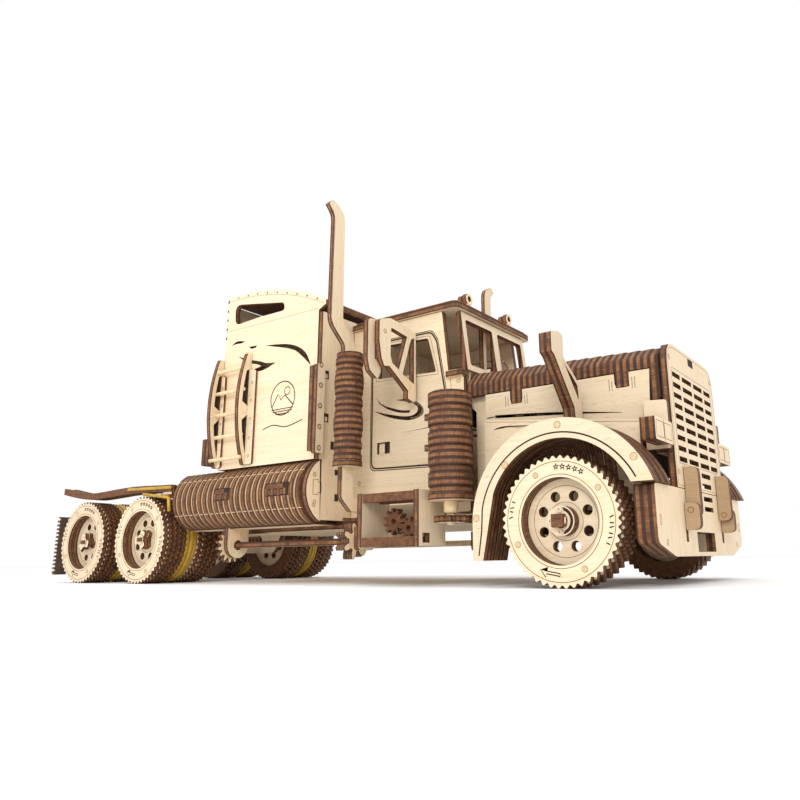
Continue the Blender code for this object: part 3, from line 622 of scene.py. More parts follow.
def front_fender(word, side):
    """Arch of stacked plates: a pale plate outside, darker ones behind it and the side panel."""
    cx, cz, foot, lip = 163.5, 25.0, 10.5, 37.6

    def arch(inner, outer):
        front_in = math.degrees(math.asin((lip - cz) / inner))
        front_out = math.degrees(math.asin((lip - cz) / outer))
        return [(cx - outer, foot)] + arc(cx, cz, outer, 180, front_out, 40) \
            + arc(cx, cz, inner, front_in, 158, 34) + [(cx - inner - 3.2, foot)]

    piece = Piece(f"wing_{word}", "chassis", side)
    slot_line = [(126.9, 12.5), (128.4, 22)] + arc(cx - 0.4, 23.8, 34.9, 168, 26, 36)
    piece.plate("XZ", [arch(31.5, 39.4)], (63.05, 66.0))
    piece.line("XZ", slot_line, 0.62, 66.0)
    piece.dowels("XZ", [(164.3, 61.6), (194.2, 46.5), (140.1, 47.9), (126.0, 27.3)], 66.0)
    for k in range(5):
        start = 46.3 + 3.35 * k
        inner = 31.9 + 0.5 * (k % 2)
        piece.plate("XZ", [arch(inner, 39.3 - 0.55 * (k % 2))], (start, start + 3.2), BURN)
    panel = [(118.6, 28.0), (126.0, 28.0)] + arc(cx, cz, 33.5, 172, 38, 24) \
        + [(190.2, 63.8), (118.6, 71.7)]
    leaf = curve([(122.7, 66.7), (128.3, 67.9), (141.3, 66.9)]) \
        + curve([(136.0, 66.2), (131.5, 66.9), (126.9, 67.0)])
    piece.plate("XZ", [panel, leaf], (43.2, 46.2))
    outline = [(190.0, 62.9), (119.4, 70.8)]
    piece.line("XZ", outline, 0.2, 46.2, LINE)
    piece.done(f"front_fender_{word}")


def wing_web(word, side):
    shelf = Piece(f"wing_web_{word}", "chassis", side)
    shelf.plate("XZ", [rounded([(189.3, 52.5), (198.85, 52.5), (198.85, 72.0, 1),
                                (189.3, 72.6)])], (34.7, 37.6))
    for x in (121.5, 183.0):
        shelf.plate("YZ", [box_outline(34.9, 43.1, 44, 60)], (x, x + PLY))
    shelf.done()


def hood_section(crest, edge, lower=None):
    shoulder = crest - 0.55 * (crest - edge)
    outer = rounded([(34.3, edge), (34.3, shoulder, 3), (27.5, crest - 0.9, 5), (0, crest)])
    inner = rounded([(30.7, edge), (30.7, shoulder - 1.4, 2), (26.0, crest - 4.8, 4), (0, crest - 4.2)])
    if lower:
        outer[0] = (34.3, lower)
        inner[0] = (31.1, lower)
    whole = [half[:-1] + [(-u, v) for u, v in reversed(half[:-1])] for half in (outer, inner)]
    return whole[0] + whole[1][::-1]


def hood_ribs():
    """Bonnet of ribs that stand across it, three of which reach down as tabs."""
    piece = Piece("bonnet_ribs", "hood")
    first, last, pitch = 101.7, 195.02, 3.01
    count = round((last - first) / pitch)
    for k in range(count):
        x = first + k * pitch
        share = (x - first) / (last - first)
        crest = 101.0 - 3.4 * share - (0.0 if k % 2 else 0.25)
        lower = None
        if k in (8, 9, 25, 26):
            lower = 80.4
        if k == count - 1:
            lower = 73.2
        piece.plate("YZ", [hood_section(crest, 87.0, lower)], (x, min(last, x + pitch - SEAM)), BURN)
    # painted shade: a thin dark sheet in front of the last rib stands for the shadow in the joint with
    # the grille
    rim = hood_section(97.3, 87.0, 74.0)
    piece.plate("YZ", [rim], (195.1, 195.6), SHADE_FILL)
    piece.done("hood_top", slot="burnt_edge")


def hood_side(word, side):
    piece = Piece(f"bonnet_side_{word}", "hood", side)
    top = 86.5
    left, right = (125.4, 131.9), (176.4, 182.9)
    outline = [(112.0, 70.0), (188.0, 64.5), (191.0, 72.2), (191.8, top),
               (right[1], top), (right[1], 82.2), (right[1] - 0.8, 80.2), (right[0] + 0.8, 80.2),
               (right[0], 82.2), (right[0], top), (left[1], top), (left[1], 82.2),
               (left[1] - 0.8, 80.2), (left[0] + 0.8, 80.2), (left[0], 82.2), (left[0], top),
               (112.0, top)]
    slit = curve([(117.0, 74.7), (140.0, 73.0), (160.0, 71.4), (178.8, 69.6)]) \
        + curve([(178.8, 69.8), (157.0, 72.7), (138.0, 74.6), (117.1, 76.1)])
    piece.plate("XZ", [outline, slit], (31.3, 34.3))
    for u0, u1 in (left, right):
        for u in (u0 - 2.4, u0 - 1.2, u1 + 1.2, u1 + 2.4):
            tick = [(u, 79.4), (u, 83.4 + RNG.uniform(0, 1.2))]
            piece.line("XZ", tick, 0.2, 34.3)
    piece.line("XZ", [(112.6, 75.2), (116.8, 75.4)], 0.5, 34.3)
    piece.done(f"hood_side_{word}")


def front_engraving():
    """Badge slot and outline on the grille, lamps' faces, dowels and the bumper's engraving."""
    face = FRONT_FACE
    piece = Piece("front_engraving", "chassis")
    edge = rounded([(-31.8, 38.6), (31.8, 38.6), (31.8, 96.7, 8), (-31.8, 96.7, 8)])
    piece.line("YZ", edge, 0.16, face, LINE, closed=True)
    piece.mark("YZ", [box_outline(-3.6, 3.6, 93.0, 96.4, 0.4)], face)
    inner = box_outline(-28.4, 28.4, 47.6, 87.4, 1)
    piece.line("YZ", inner, 0.16, face, LINE, closed=True)
    piece.dowels("YZ", [(u, v) for u in (-29.6, 29.6) for v in (91.5, 44.0)], face, 1.0)
    piece.dowels("YZ", [(u, 16.2) for u in (-50.5, 50.5)], face, 1.0)
    for side in (1, -1):
        for u0, u1 in ((35.2, 43.4), (44.2, 52.6)):
            lamp = box_outline(*sorted((side * u0, side * u1)), 55.4, 61.6, 0.6)
            piece.line("YZ", lamp, 0.22, face, LINE, closed=True)
        piece.line("YZ", [(side * 43.8, 54.2), (side * 43.8, 62.8)], 0.2, face)
        for level in (21.6, 27.8):
            piece.rings("XZ", (201.6, 28.8), (1.1,), side * level, 0.3)
        oval = [(side * 56.2 + 0.9 * math.cos(a), 24.2 + 1.9 * math.sin(a))
                for a in [math.pi * i / 8 for i in range(16)]]
        piece.line("YZ", oval, 0.25, face, LINE, closed=True)
    piece.mark("XZ", [box_outline(191.1, 194.9, 13.0, 20.6)], 12.98, FACE["XZ"])
    piece.done(bevel=0)


def grille_backing():
    fillers = Piece("grille_backing", "chassis")
    for z in (37.9, 52.0, 66.0, 80.0):
        fillers.plate("XY", [box_outline(190.4, 195.8, -29.8, 29.8)], (z, z + 2.4))
    # painted shade: a dark sheet behind the grille bars stands for the shade behind them
    fillers.plate("YZ", [box_outline(-30.0, 30.0, 44.0, 86.0)], (187.0, 190.0), SHADE_FILL, SHADE_FILL)
    fillers.done()


def hood_mirror(word, side):
    """Wing mirror of two plates on an arm that is cut through."""
    piece = Piece(f"wing_mirror_{word}", "chassis", side)
    outline = rounded([(38.6, 67.8), (45.6, 67.8), (46.2, 72.0), (62.5, 91.0), (65.0, 92.3, 1),
                       (65.0, 100.5, 1), (57.6, 102.2, 1), (54.4, 101.2, 1), (54.8, 92.0),
                       (40.2, 83.0), (38.6, 79.0)])
    cut = rounded([(41.4, 75.6), (54.0, 89.4), (42.2, 82.0)])
    for low in (157.45, 160.28):
        piece.plate("YZ", [outline, cut], (low, low + 2.72), None if low > 160 else BURN)
    piece.done(f"hood_mirror_{word}")


def engine():
    """V engine of plates, with two banks, their covers and a row of rods."""
    piece = Piece("engine_plates", "chassis")
    half = rounded([(0, 43.4), (10, 43.4), (12, 57), (27, 72, 2), (20, 82, 2), (0, 65)])
    for k in range(16):
        shrink = 1.0 if k % 2 else 0.96
        loop = [(u * shrink, 43.4 + (v - 43.4) * shrink) for u, v in mirrored(half)]
        hole = circle(0, 52, 3, 20)
        piece.plate("YZ", [loop, hole], (118.0 + 3 * k, 121.0 + 3 * k - SEAM))
    for side in (1, -1):
        for k in range(4):
            piece.rod((124 + 11 * k, side * 17, 70), (124 + 11 * k, side * 24.5, 79.5), 2.6, RUNG)
    piece.rod((112.0, 0, 52), (167.0, 0, 52), 2.4, RUNG)
    piece.done("engine_block", slot="burnt_edge")


# ---------------------------------------------------------------- cab

DOOR = [(42, 56, 4), (88.6, 55, 2), (91, 80, 6), (90.5, 91, 6), (85.5, 118.5, 5), (82, 124, 4),
        (45, 124.5, 3), (42, 121, 3)]


def door(word, side):
    piece = Piece(f"door_panel_{word}", f"door_{word}", side)
    window = rounded([(46.5, 104.0, 1), (84.5, 102.0, 1), (79.5, 120.5, 2), (52.0, 121.5, 3),
                      (46.5, 119.0, 2)])
    handle = box_outline(46.5, 55.0, 64.0, 70.0)
    hook = curve([(45.0, 95.0), (48.6, 90.6), (55.0, 87.6), (62.5, 85.3), (68.0, 84.6)], 4) \
        + curve([(67.6, 83.4), (61.0, 84.2), (53.0, 87.2), (47.6, 90.6)], 4)
    blade = curve([(58.3, 91.2), (67.7, 90.4), (73.9, 87.4), (76.6, 83.6), (75.2, 81.0),
                   (68.8, 79.5), (60.0, 80.9), (51.4, 83.6), (43.9, 87.1)], 4) \
        + curve([(52.4, 84.6), (61.9, 82.3), (68.6, 81.7), (72.4, 83.2), (72.6, 85.8),
                 (69.0, 88.6)], 4)
    piece.plate("XZ", [rounded(DOOR), window, handle, hook, blade], (33.0, CAB_FACE))
    inset = rounded([(42.7, 56.8, 4), (88.0, 55.8, 2), (90.3, 80, 6), (89.8, 90.8, 6),
                     (84.9, 118.1, 5), (81.6, 123.3, 4), (45.3, 123.8, 3), (42.7, 120.8, 3)])
    piece.line("XZ", inset, 0.85, CAB_FACE, closed=True)
    frame_line = rounded([(45.2, 102.8, 1), (86.0, 100.7, 1), (80.6, 121.7, 2), (51.4, 122.7, 3),
                          (45.2, 119.8, 2)])
    piece.line("XZ", frame_line, 0.24, CAB_FACE, LINE, closed=True)
    piece.mark("XZ", [[(62.0, 73.5), (86.5, 74.6), (86.5, 75.1)]], CAB_FACE)
    piece.plate("XZ", [box_outline(46.9, 50.6, 64.3, 69.7)], (33.2, 34.8))
    bracket = rounded([(38.4, 88.4), (40.2, 87.2), (44.8, 88.4), (44.6, 92.4), (59.1, 101.9),
                       (62.8, 101.2), (65.0, 105.0, 2), (66.6, 113.0), (66.6, 123.8, 2),
                       (58.5, 126.3, 2), (47.5, 125.2), (38.4, 123.2)])
    upper = rounded([(45.5, 119.9), (58.0, 121.6, 1), (58.3, 107.4), (56.8, 103.6), (51.9, 101.6)])
    lower = [(39.9, 96.5), (49.0, 99.9), (42.4, 119.2), (39.9, 120.6)]
    loops = [loop for loop in (bracket, upper, lower)]
    piece.plate("YZ", loops, (70.5, 73.5))
    shell = rounded([(60.4, 99.4, 1), (62.4, 95.2, 2), (68.3, 98.7, 3), (69.9, 104.0),
                     (69.9, 124.0, 2), (60.4, 126.0, 1)])
    piece.plate("YZ", [shell], (66.2, 69.2))
    piece.plate("YZ", [box_outline(61.0, 65.0, 105.0, 122.0)], (69.25, 70.45), BURN)
    piece.dowels("YZ", [(62.6, 118.6)], 73.5, 1.0)
    piece.done(f"door_{word}")


def cab_engraving():
    for word, side in SIDES:
        piece = Piece(f"cab_engraving_{word}", "chassis", side)
        piece.line("XZ", [(94.4, 60), (94.4, 84), (92.6, 101)], 0.2, CAB_FACE, LINE)
        piece.dowels("XZ", [(97.8, 95.5), (97.8, 64.0), (34.5, 50.0), (34.5, 110.0)], CAB_FACE, 1.0)
        piece.done(bevel=0)


def roof_edges():
    """Rim and lining of the cab's roof, with two marker lamps on it."""
    roof = Piece("roof_edges", "chassis")
    z, reach = 136.35, 36.4
    outline = rounded([(30.5, -reach), (97.4, -reach, 4), (97.4, reach, 4), (30.5, reach)])
    hole = rounded([(34.5, 5 - reach), (93.0, 5 - reach, 4), (93.0, reach - 5, 4), (34.5, reach - 5)])
    roof.plate("XY", [outline, hole], (z, z + 1.2))
    roof.plate("XY", [box_outline(34.5, 92.9, -31.0, 31.0)], (z - 0.02, z + 0.3))
    for y in (-21.7, 18.7):
        roof.plate("YZ", [box_outline(y - 2.2, y + 2.2, 137.0, 139.4)], (88.5, 95.6))
        roof.plate("YZ", [circle(y, 142.2, 3.1, 24), circle(y, 142.2, 1.5, 16)], (93.0, 95.8))
        roof.plate("YZ", [circle(y, 142.2, 2.6, 24)], (90.0, 92.9))
    roof.done()


def scuttle():
    """Shelf in front of the windscreen, its middle post and two side lugs."""
    shelf = Piece("scuttle", "chassis")
    shelf.plate("XY", [box_outline(89.8, 101.0, -31.8, 31.8)], (100.65, 101.4))
    shelf.plate("YZ", [box_outline(-1.3, 1.3, 101.6, 132.6)], (88.0, 91.0))
    for side in (1, -1):
        lug = box_outline(91.5, 101.3, *sorted((side * 31.4, side * 38.5)), 1)
        shelf.plate("XY", [lug], (97.6, 100.5))
    shelf.done()


def cab_seats():
    """Two seats of plates, the dashboard and the steering wheel on its column."""
    seats = Piece("cab_seats", "chassis")
    for side in (1, -1):
        for k in range(6):
            y0 = side * (8.0 + 3.2 * k)
            seat = rounded([(42, 60), (62, 60, 2), (62, 66, 2), (49, 67, 2), (45, 96, 3), (40, 96, 3)])
            seats.plate("XZ", [seat], (y0, y0 + side * 3.05))
    tilt = Matrix.Translation((78, 16, 92)) @ Matrix.Rotation(math.radians(62), 4, "Y")
    seats.plate("XY", [circle(0, 0, 9, 40), circle(0, 0, 7, 40)], (0, 2), move=tilt)
    seats.plate("XY", [box_outline(-7.2, 7.2, -1, 1)], (0, 2), move=tilt)
    seats.rod((78, 16, 92), (97, 16, 84), 1.2, RUNG)
    seats.plate("XZ", [[(92, 76), (97.3, 76), (97.3, 96), (92, 96)]], (-29.5, 29.5), INK)
    seats.done()


# ---------------------------------------------------------------- sleeper

def roof_arch(offset, start, end, count=24):
    whole = arc_through((-50.6, 163.5 - offset), (-8.0, 159.5 - offset), (30.5, 145.5 - offset), 90)
    kept = [point for point in whole if start <= point[0] <= end]
    return kept[::max(1, len(kept) // count)]


def flames():
    """Curved cut-outs high on the sleeper's side."""
    sweep = curve([(-16.0, 128.3), (0.0, 126.3), (9.9, 123.2), (16.9, 118.2), (21.0, 110.7)], 5) \
        + curve([(15.2, 116.0), (8.6, 121.0), (0.1, 124.2)], 5)[:-1]
    brow = curve([(-44.8, 133.4), (-40.2, 135.2), (-33.0, 134.0)], 4) \
        + curve([(-36.0, 133.3), (-40.6, 133.7)], 4)
    small = [(-29.6, 130.0), (-22.8, 129.6), (-23.4, 128.5), (-27.2, 128.4)]
    wing = curve([(-38.5, 125.8), (-29.0, 122.4), (-19.5, 119.8), (-13.5, 117.8),
                  (-6.4, 117.0)], 4) \
        + curve([(-12.5, 114.9), (-19.3, 114.0), (-28.4, 115.2)], 4)[:-1] \
        + curve([(-22.4, 116.2), (-18.6, 117.0), (-22.6, 118.6), (-29.5, 120.4)], 4)
    return [sweep, brow, small, wing]


def emblem(piece, at):
    """A plain mountain and sun in a ring, engraved on the sleeper's side."""
    centre = (0.5, 96.0)
    piece.rings("XZ", centre, (9.2,), at, 0.6, INK)
    piece.rings("XZ", (3.8, 99.6), (2.1,), at, 0.45, INK)
    peaks = [(-7.8, 91.6), (-3.2, 98.6), (-0.8, 95.2), (2.2, 97.4), (8.6, 91.6)]
    piece.line("XZ", peaks, 0.62, at)
    for k, reach in enumerate((8.4, 7.4, 5.2)):
        v = 90.2 - 1.3 * k
        piece.line("XZ", [(0.5 - reach, v), (0.5 + reach, v)], 0.5, at)
    piece.line("XZ", curve([(-14, 80.5), (-6, 82.0), (4, 80.2), (16, 82.6)]), 0.55, at)


def sleeper_side(word, side):
    piece = Piece(f"sleeper_panel_{word}", "chassis", side)
    top = roof_arch(0, -50.7, 30.6)
    outline = [(-50.6, 61.3), (25.4, 61.3), (25.4, 140.5), (30.5, 143.0)]
    outline += sorted(top, reverse=True)
    vent = rounded([(-42.6, 145.4, 4), (-21.5, 146.3), (-1.2, 146.0, 3), (-1.8, 150.8, 3),
                    (-43.8, 158.4, 5)])
    face = SLEEPER_FACE
    piece.plate("XZ", [outline, vent, *flames()], (57.0, face))
    for u, v in roof_arch(1.5, -50, 29, 9):
        piece.mark("XZ", [circle(u, v, 0.55, 8)], face)
    seam = roof_arch(2.6, -50.4, 29)
    piece.line("XZ", seam, 0.16, face, LINE)
    piece.line("XZ", [(-50.4, 142.6), (25.2, 141.4)], 0.16, face, LINE)
    for k in range(5):
        piece.mark("XZ", [box_outline(-50.5, -49.5, 138 + 5.6 * k, 139.4 + 5.6 * k)], face)
    emblem(piece, face)
    piece.done(f"sleeper_side_{word}")


def sleeper_planks():
    piece = Piece("sleeper_roof_planks", "chassis")
    outer = sorted(roof_arch(0.2, -50.3, 29.6, 40))
    for i, ((x0, z0), (x1, z1)) in enumerate(zip(outer, outer[1:])):
        gap = 0.16
        drop = 0.0 if i % 2 else 0.12
        loop = [(x0 + gap, z0 - 3.0), (x1, z1 - 3.0), (x1, z1 - drop), (x0 + gap, z0 - drop)]
        piece.plate("XZ", [loop], (-56.6, 56.6), BURN, FACE["XY"])
    piece.plate("YZ", [box_outline(-56.5, 56.5, 142.9, 145.6)], (29.6, 30.3), BURN)
    # painted shade: a dark sheet under the planks darkens the sleeper's ceiling where it shows through
    # the cut-outs
    lining = [(u, v - 3.1) for u, v in outer] + [(u, v - 3.6) for u, v in reversed(outer)]
    piece.plate("XZ", [lining], (-56.4, 56.4), BURN, BURN)
    piece.done("sleeper_roof")


def sleeper_rear_trim():
    """Corner blocks, window frame, battens and dowels behind the sleeper."""
    extra = Piece("sleeper_rear_trim", "chassis")
    for side in (1, -1):
        for k in range(3):
            x = -60.3 + 3.1 * k
            extra.plate("YZ", [box_outline(*sorted((side * 49.4, side * 63.8)), 64.4, 79.6, 1)],
                        (x, x + 3.0), BURN)
        for k in range(3):
            extra.plate("YZ", [box_outline(*sorted((side * 20.5, side * 23.5)), 96 + 10 * k,
                                           104 + 10 * k)], (-52.4, -50.7))
    frame_loop = box_outline(-22.0, 22.0, 97.2, 126.8, 3)
    extra.plate("YZ", [frame_loop, box_outline(-19.0, 19.0, 100.0, 124.0, 3)], (-52.2, -50.7))
    for u in (-6.5, 6.5):
        extra.plate("YZ", [box_outline(u - 0.9, u + 0.9, 99.0, 125.0)], (-50.5, -47.7))
    for side in (1, -1):
        for v in (72, 94, 116, 138, 152):
            extra.dowels("YZ", [(side * 53.2, v)], -50.6, 1.1)
    arch = [(-48 + 6 * i, 150 + 4 * math.sin(math.pi * i / 16)) for i in range(17)]
    extra.line("YZ", arch, 0.5, -50.6)
    extra.line("YZ", [(-48, 90), (48, 90)], 0.3, -50.6, LINE)
    extra.done(bevel=0)


def sleeper_front_trim(word, side):
    """Batten of two plates with five pins, square sockets and the tank's T-shaped key."""
    piece = Piece(f"sleeper_batten_{word}", "chassis", side)
    batten = rounded([(60.1, 65.2), (60.8, 63.2), (65.4, 63.2, 1), (65.4, 109.0, 1), (60.1, 109.8, 1)])
    piece.plate("YZ", [batten], (28.75, 31.7))
    piece.plate("YZ", [box_outline(60.2, 65.2, 64.6, 108.6)], (25.6, 28.7))
    for k in range(5):
        spot = (63.0, 65.9 + 10.65 * k)
        piece.rings("YZ", spot, (1.2,), 31.7, 0.34, INK)
        piece.dowels("YZ", [spot], 31.7, 0.9)
    for y, low, high in ((56.2, 102.9, 107.4), (55.6, 80.2, 84.8)):
        piece.mark("YZ", [box_outline(y - 1.7, y + 1.4, low, high)], 28.7)
        piece.plate("YZ", [box_outline(y - 0.6, y + 1.3, low + 0.4, high - 1.9)], (28.6, 28.95))
    for y, low, high in ((50.6, 66.6, 70.8), (47.1, 53.8, 56.6), (46.8, 40.6, 44.2)):
        piece.mark("YZ", [box_outline(y - 1.5, y + 1.2, low, high)], 28.7)
    key = [(57.5, 44.4), (57.5, 49.4), (59.6, 49.4), (59.6, 50.6), (63.0, 50.6), (63.0, 43.2),
           (59.6, 43.2), (59.6, 44.4)]
    piece.line("YZ", key, 0.3, 28.7, closed=True)
    piece.done(bevel=0.08)


def ladder(word, side):
    piece = Piece(f"ladder_rails_{word}", "chassis", side)
    bow = arc_through((62.0, 62.5), (67.6, 96.0), (63.0, 125.0), 18)
    outline = [(60.3, 62.5)] + bow + [(60.3, 125.0)]
    slots = []
    for low, high in ((68.5, 90.0), (95.0, 116.0)):
        inner = [(u - 2.3, v) for u, v in bow if low <= v <= high]
        slots.append([(61.6, high), (61.6, low)] + inner)
    for x, reach in ((-53.0, 6.0), (-29.0, 8.4)):
        piece.plate("YZ", [outline, *slots], (x, x + PLY))
        # painted shade: a thin dark sheet inside each slot stands for the shade seen through it
        for slot in slots:
            piece.plate("YZ", [slot], (x + 1.2, x + 1.8), SHADE_FILL, SHADE_FILL)
        strip = rounded([(x + 3.1, 62.6), (x + reach, 62.6, 1), (x + reach, 114.6, 1),
                         (x + 3.1, 116.0)])
        piece.plate("XZ", [strip], (60.05, 61.4))
        pins = [(x + 1.4 + reach / 2, v) for v in (67, 77, 87.5, 98, 108)]
        piece.dowels("XZ", pins, 61.4, 0.7)
    for k in range(5):
        z = 66.5 + 12.6 * k
        piece.rod((-52.6, 64.0, z), (-26.4, 64.0, z), 1.1, RUNG)
    piece.done(f"ladder_{word}")


# ---------------------------------------------------------------- side equipment

def fuel_tank(word, side):
    """Tank of thin ribs with pale spacers between them, two straps and a keyed end cap."""
    piece = Piece(f"tank_ribs_{word}", "chassis", side)
    cy, cz, bottom, top = 50.4, 45.6, 29.98, 60.48

    def section(radius):
        low = math.degrees(math.asin((cz - bottom) / radius))
        high = math.degrees(math.asin((top - cz) / radius))
        return arc(cy, cz, radius, -low, high, 26) + [(cy - 3.0, top), (cy - 3.0, bottom)]

    start, end, pitch, ribs = -79.0, 25.1, 4.53, 23
    for k in range(ribs):
        x = start + k * pitch
        piece.plate("YZ", [section(17.1)], (x, x + PLY - 0.02), BURN)
        if k < ribs - 1:
            piece.plate("YZ", [section(16.75)], (x + PLY, x + pitch), BURN, TOAST)
    cap = arc(cy, cz, 17.0, -64, 60, 26)
    piece.plate("YZ", [cap], (end + 0.4, 28.7))
    piece.rings("YZ", (61.8, 39.6), (0.9,), 28.7, 0.3)
    piece.dowels("YZ", [(62.2, 53.0), (62.2, 38.2)], 28.7, 1.0)
    for z in (55.6, 37.2):
        reach = cy + math.sqrt(17.1 ** 2 - (z - cz) ** 2)
        for k in range(ribs):
            x = start + k * pitch
            piece.plate("XZ", [box_outline(x + 0.2, x + 2.8, z - 0.35, z + 0.35)],
                        (reach - 0.6, reach - 0.05), RUNG, RUNG)
    for start, end in ((-41.8, -29.8), (-1.0, 15.6)):
        # painted shade: a dark sheet under each strap's bars shows between them as shade
        piece.plate("XZ", [box_outline(start, end, 43.4, 50.0, 0.4)], (66.6, 67.4), SHADE_FILL, SHADE_FILL)
        for k in range(2):
            low = 44.2 + 2.9 * k
            piece.plate("XZ", [box_outline(start + 0.8, end - 3.6, low, low + 2.4)],
                        (66.9, 67.45 + 0.05 * k), BURN)
    piece.plate("XY", [box_outline(-78.0, 24.0, 42.0, 56.0)], (29.0, 29.9))
    piece.done(f"fuel_tank_{word}", slot="burnt_edge")


def disc_stack(piece, x, y, low, high, radii):
    """Column of discs of slightly different radii, with a shadow gap between them."""
    count = round((high - low) / PLY)
    pitch = (high - low) / count
    for k in range(count):
        radius = radii[k % len(radii)]
        piece.plate("XY", [circle(x, y, radius, 40)],
                    (low + k * pitch, low + (k + 1) * pitch - SEAM),
                    None if k in (0, count - 1) else BURN)


def exhaust(word, side):
    x, y = 48.4, 60.0
    piece = Piece(f"exhaust_stack_{word}", "chassis", side)
    disc_stack(piece, x, y, 55.0, 112.0, (7.2, 6.9, 6.5, 6.9, 6.5, 6.9, 7.2))
    upper = rounded([(57.5, 112), (65, 112), (65, 115.5, 4), (75.2, 125, 9), (74.6, 182.4, 7),
                     (79, 187, 1), (76, 190.1, 1), (67.5, 185.5, 9), (67, 126.5, 9),
                     (57.5, 117)])
    lower = rounded([(57.5, 54.9), (65, 54.9), (65, 40, 4), (58, 34), (51, 34), (51, 39),
                     (57.5, 41, 2)])
    for loop in (upper, lower):
        for low in (x - 1.5, x + 0.03):
            piece.plate("YZ", [loop], (low, low + 1.45))
    piece.done(f"exhaust_{word}", slot="burnt_edge")


def air_cleaner(word, side):
    x, y = 107.5, 57.4
    piece = Piece(f"air_stack_{word}", "chassis", side)
    disc_stack(piece, x, y, 36.0, 83.4, (9.9, 9.3, 9.9, 9.9, 9.3, 9.9))
    piece.rod((x, y, 30.6), (x, y, 36.2), 3.2, RUNG, 24)
    for z in (60.0, 74.0):
        clip = box_outline(x - 13.4, x - 9.0, *sorted((y - 1.5, y + 1.5)), 0.4)
        piece.plate("XY", [clip], (z - 1.5, z + 1.5))
    piece.plate("XY", [circle(x, y, 8.6, 36), circle(x, y, 3.3, 16)], (83.3, 84.0))
    piece.done(f"air_cleaner_{word}", slot="burnt_edge")


def side_gear(word, side):
    """Gear below the air cleaner, on its peg and arm."""
    x, y = 107.5, 57.4
    gear = Piece(f"side_gear_{word}", "chassis", side)
    gear.plate("XY", [gear_outline(x, y, 12, 1.1), circle(x, y, 2.2, 16)], (26.6, 29.6))
    gear.rod((x, y, 25.6), (x, y, 30.4), 1.9, RUNG)
    arm = rounded([(x - 4, 41.5), (x + 4, 41.5), (x + 4, y, 3), (x - 4, y, 3)])
    gear.plate("XY", [arm], (30.42, 30.55))
    gear.done()


def step_box(word, side):
    """Open box with a two-bar step in front, the gears in it, and a plate at its front end."""
    piece = Piece(f"step_frame_{word}", "chassis", side)
    depth = sorted((46.4, 66.0))
    socket = box_outline(58.4, 63.5, 18.4, 22.6)
    piece.plate("YZ", [box_outline(*depth, 17.0, 41.2)], (60.8, 63.8))
    piece.plate("YZ", [box_outline(*depth, 17.0, 41.2), socket], (93.5, 96.5))
    for z in (17.3, 36.9):
        for y in (62.9, 50.9):
            piece.plate("XZ", [box_outline(63.9, 93.4, z, z + 3.9)], (y, y + 3), BURN, EDGE["XY"])
        piece.plate("XY", [box_outline(63.9, 93.4, 51.2, 62.8)], (z + 0.6, z + 3.4), BURN)
    for x, z, teeth in ((75.0, 28.4, 11), (83.6, 25.2, 9)):
        piece.plate("XZ", [gear_outline(x, z, teeth, 0.95), circle(x, z, 1.3, 12)], (54.0, 57.0), BURN)
    piece.plate("XZ", [box_outline(64.0, 93.4, 21.4, 36.6)], (46.5, 47.5))
    piece.done(f"step_box_{word}")


def mudguard(word, side):
    def height(x):
        rise = max(0, (-x - 165) / 37)
        return 53.9 + 0.6 * math.cos(math.pi * (x + 122.0) / 44.0) + 4.2 * rise ** 1.5

    piece = Piece(f"mudguard_plates_{word}", "chassis", side)
    stations = [-201.7 + 2.975 * i for i in range(41)]
    for k in range(3):
        start = 57.0 + 3.17 * k
        thin = 0.25 * (k == 1)
        loop = [(x, height(x) - 2.0 + thin) for x in stations] \
            + [(x, height(x) + 2.0 - thin) for x in reversed(stations)]
        piece.plate("XZ", [loop], (start, start + 3.1), BURN)
    piece.done(f"mudguard_{word}", slot="burnt_edge")


def rear_end():
    """Cross member with comb-edged mud flaps, and lights drawn on it."""
    comb = []
    for k in range(14):
        low = 6.0 + 2.5 * k
        comb += [(67.0, low), (67.0, low + 1.25), (65.4, low + 1.45), (65.4, low + 2.4)]
    half = [(0, 34), (35, 34), (37.5, 32), (40, 6), (41, 5), (66, 5)] + comb \
        + [(67, 42), (0, 42)]
    level = -204.94
    piece = Piece("rear_cross_plate", "chassis")
    # the cross plate's face is painted dark as shade, since it faces forward away from the light
    piece.plate("YZ", [mirrored(half)], (-204.92, -202.0), FLAP_SHADE)
    for side in (1, -1):
        for u in (8.0, 16.5, 25.0):
            piece.rings("YZ", (side * u, 38.0), (2.6, 1.4), level, 0.3, INK)
        flap = flip(rounded([(42.5, 8, 1), (63.5, 8, 1), (63.5, 38.5, 1), (42, 38.5, 1)]), side)
        piece.line("YZ", flap, 0.3, level, LINE, closed=True)
        piece.mark("YZ", [flip(star(53.0, 22.0, 6.0), side), flip(star(53.0, 22.0, 5.1), side)], level)
    piece.done("rear_crossmember")


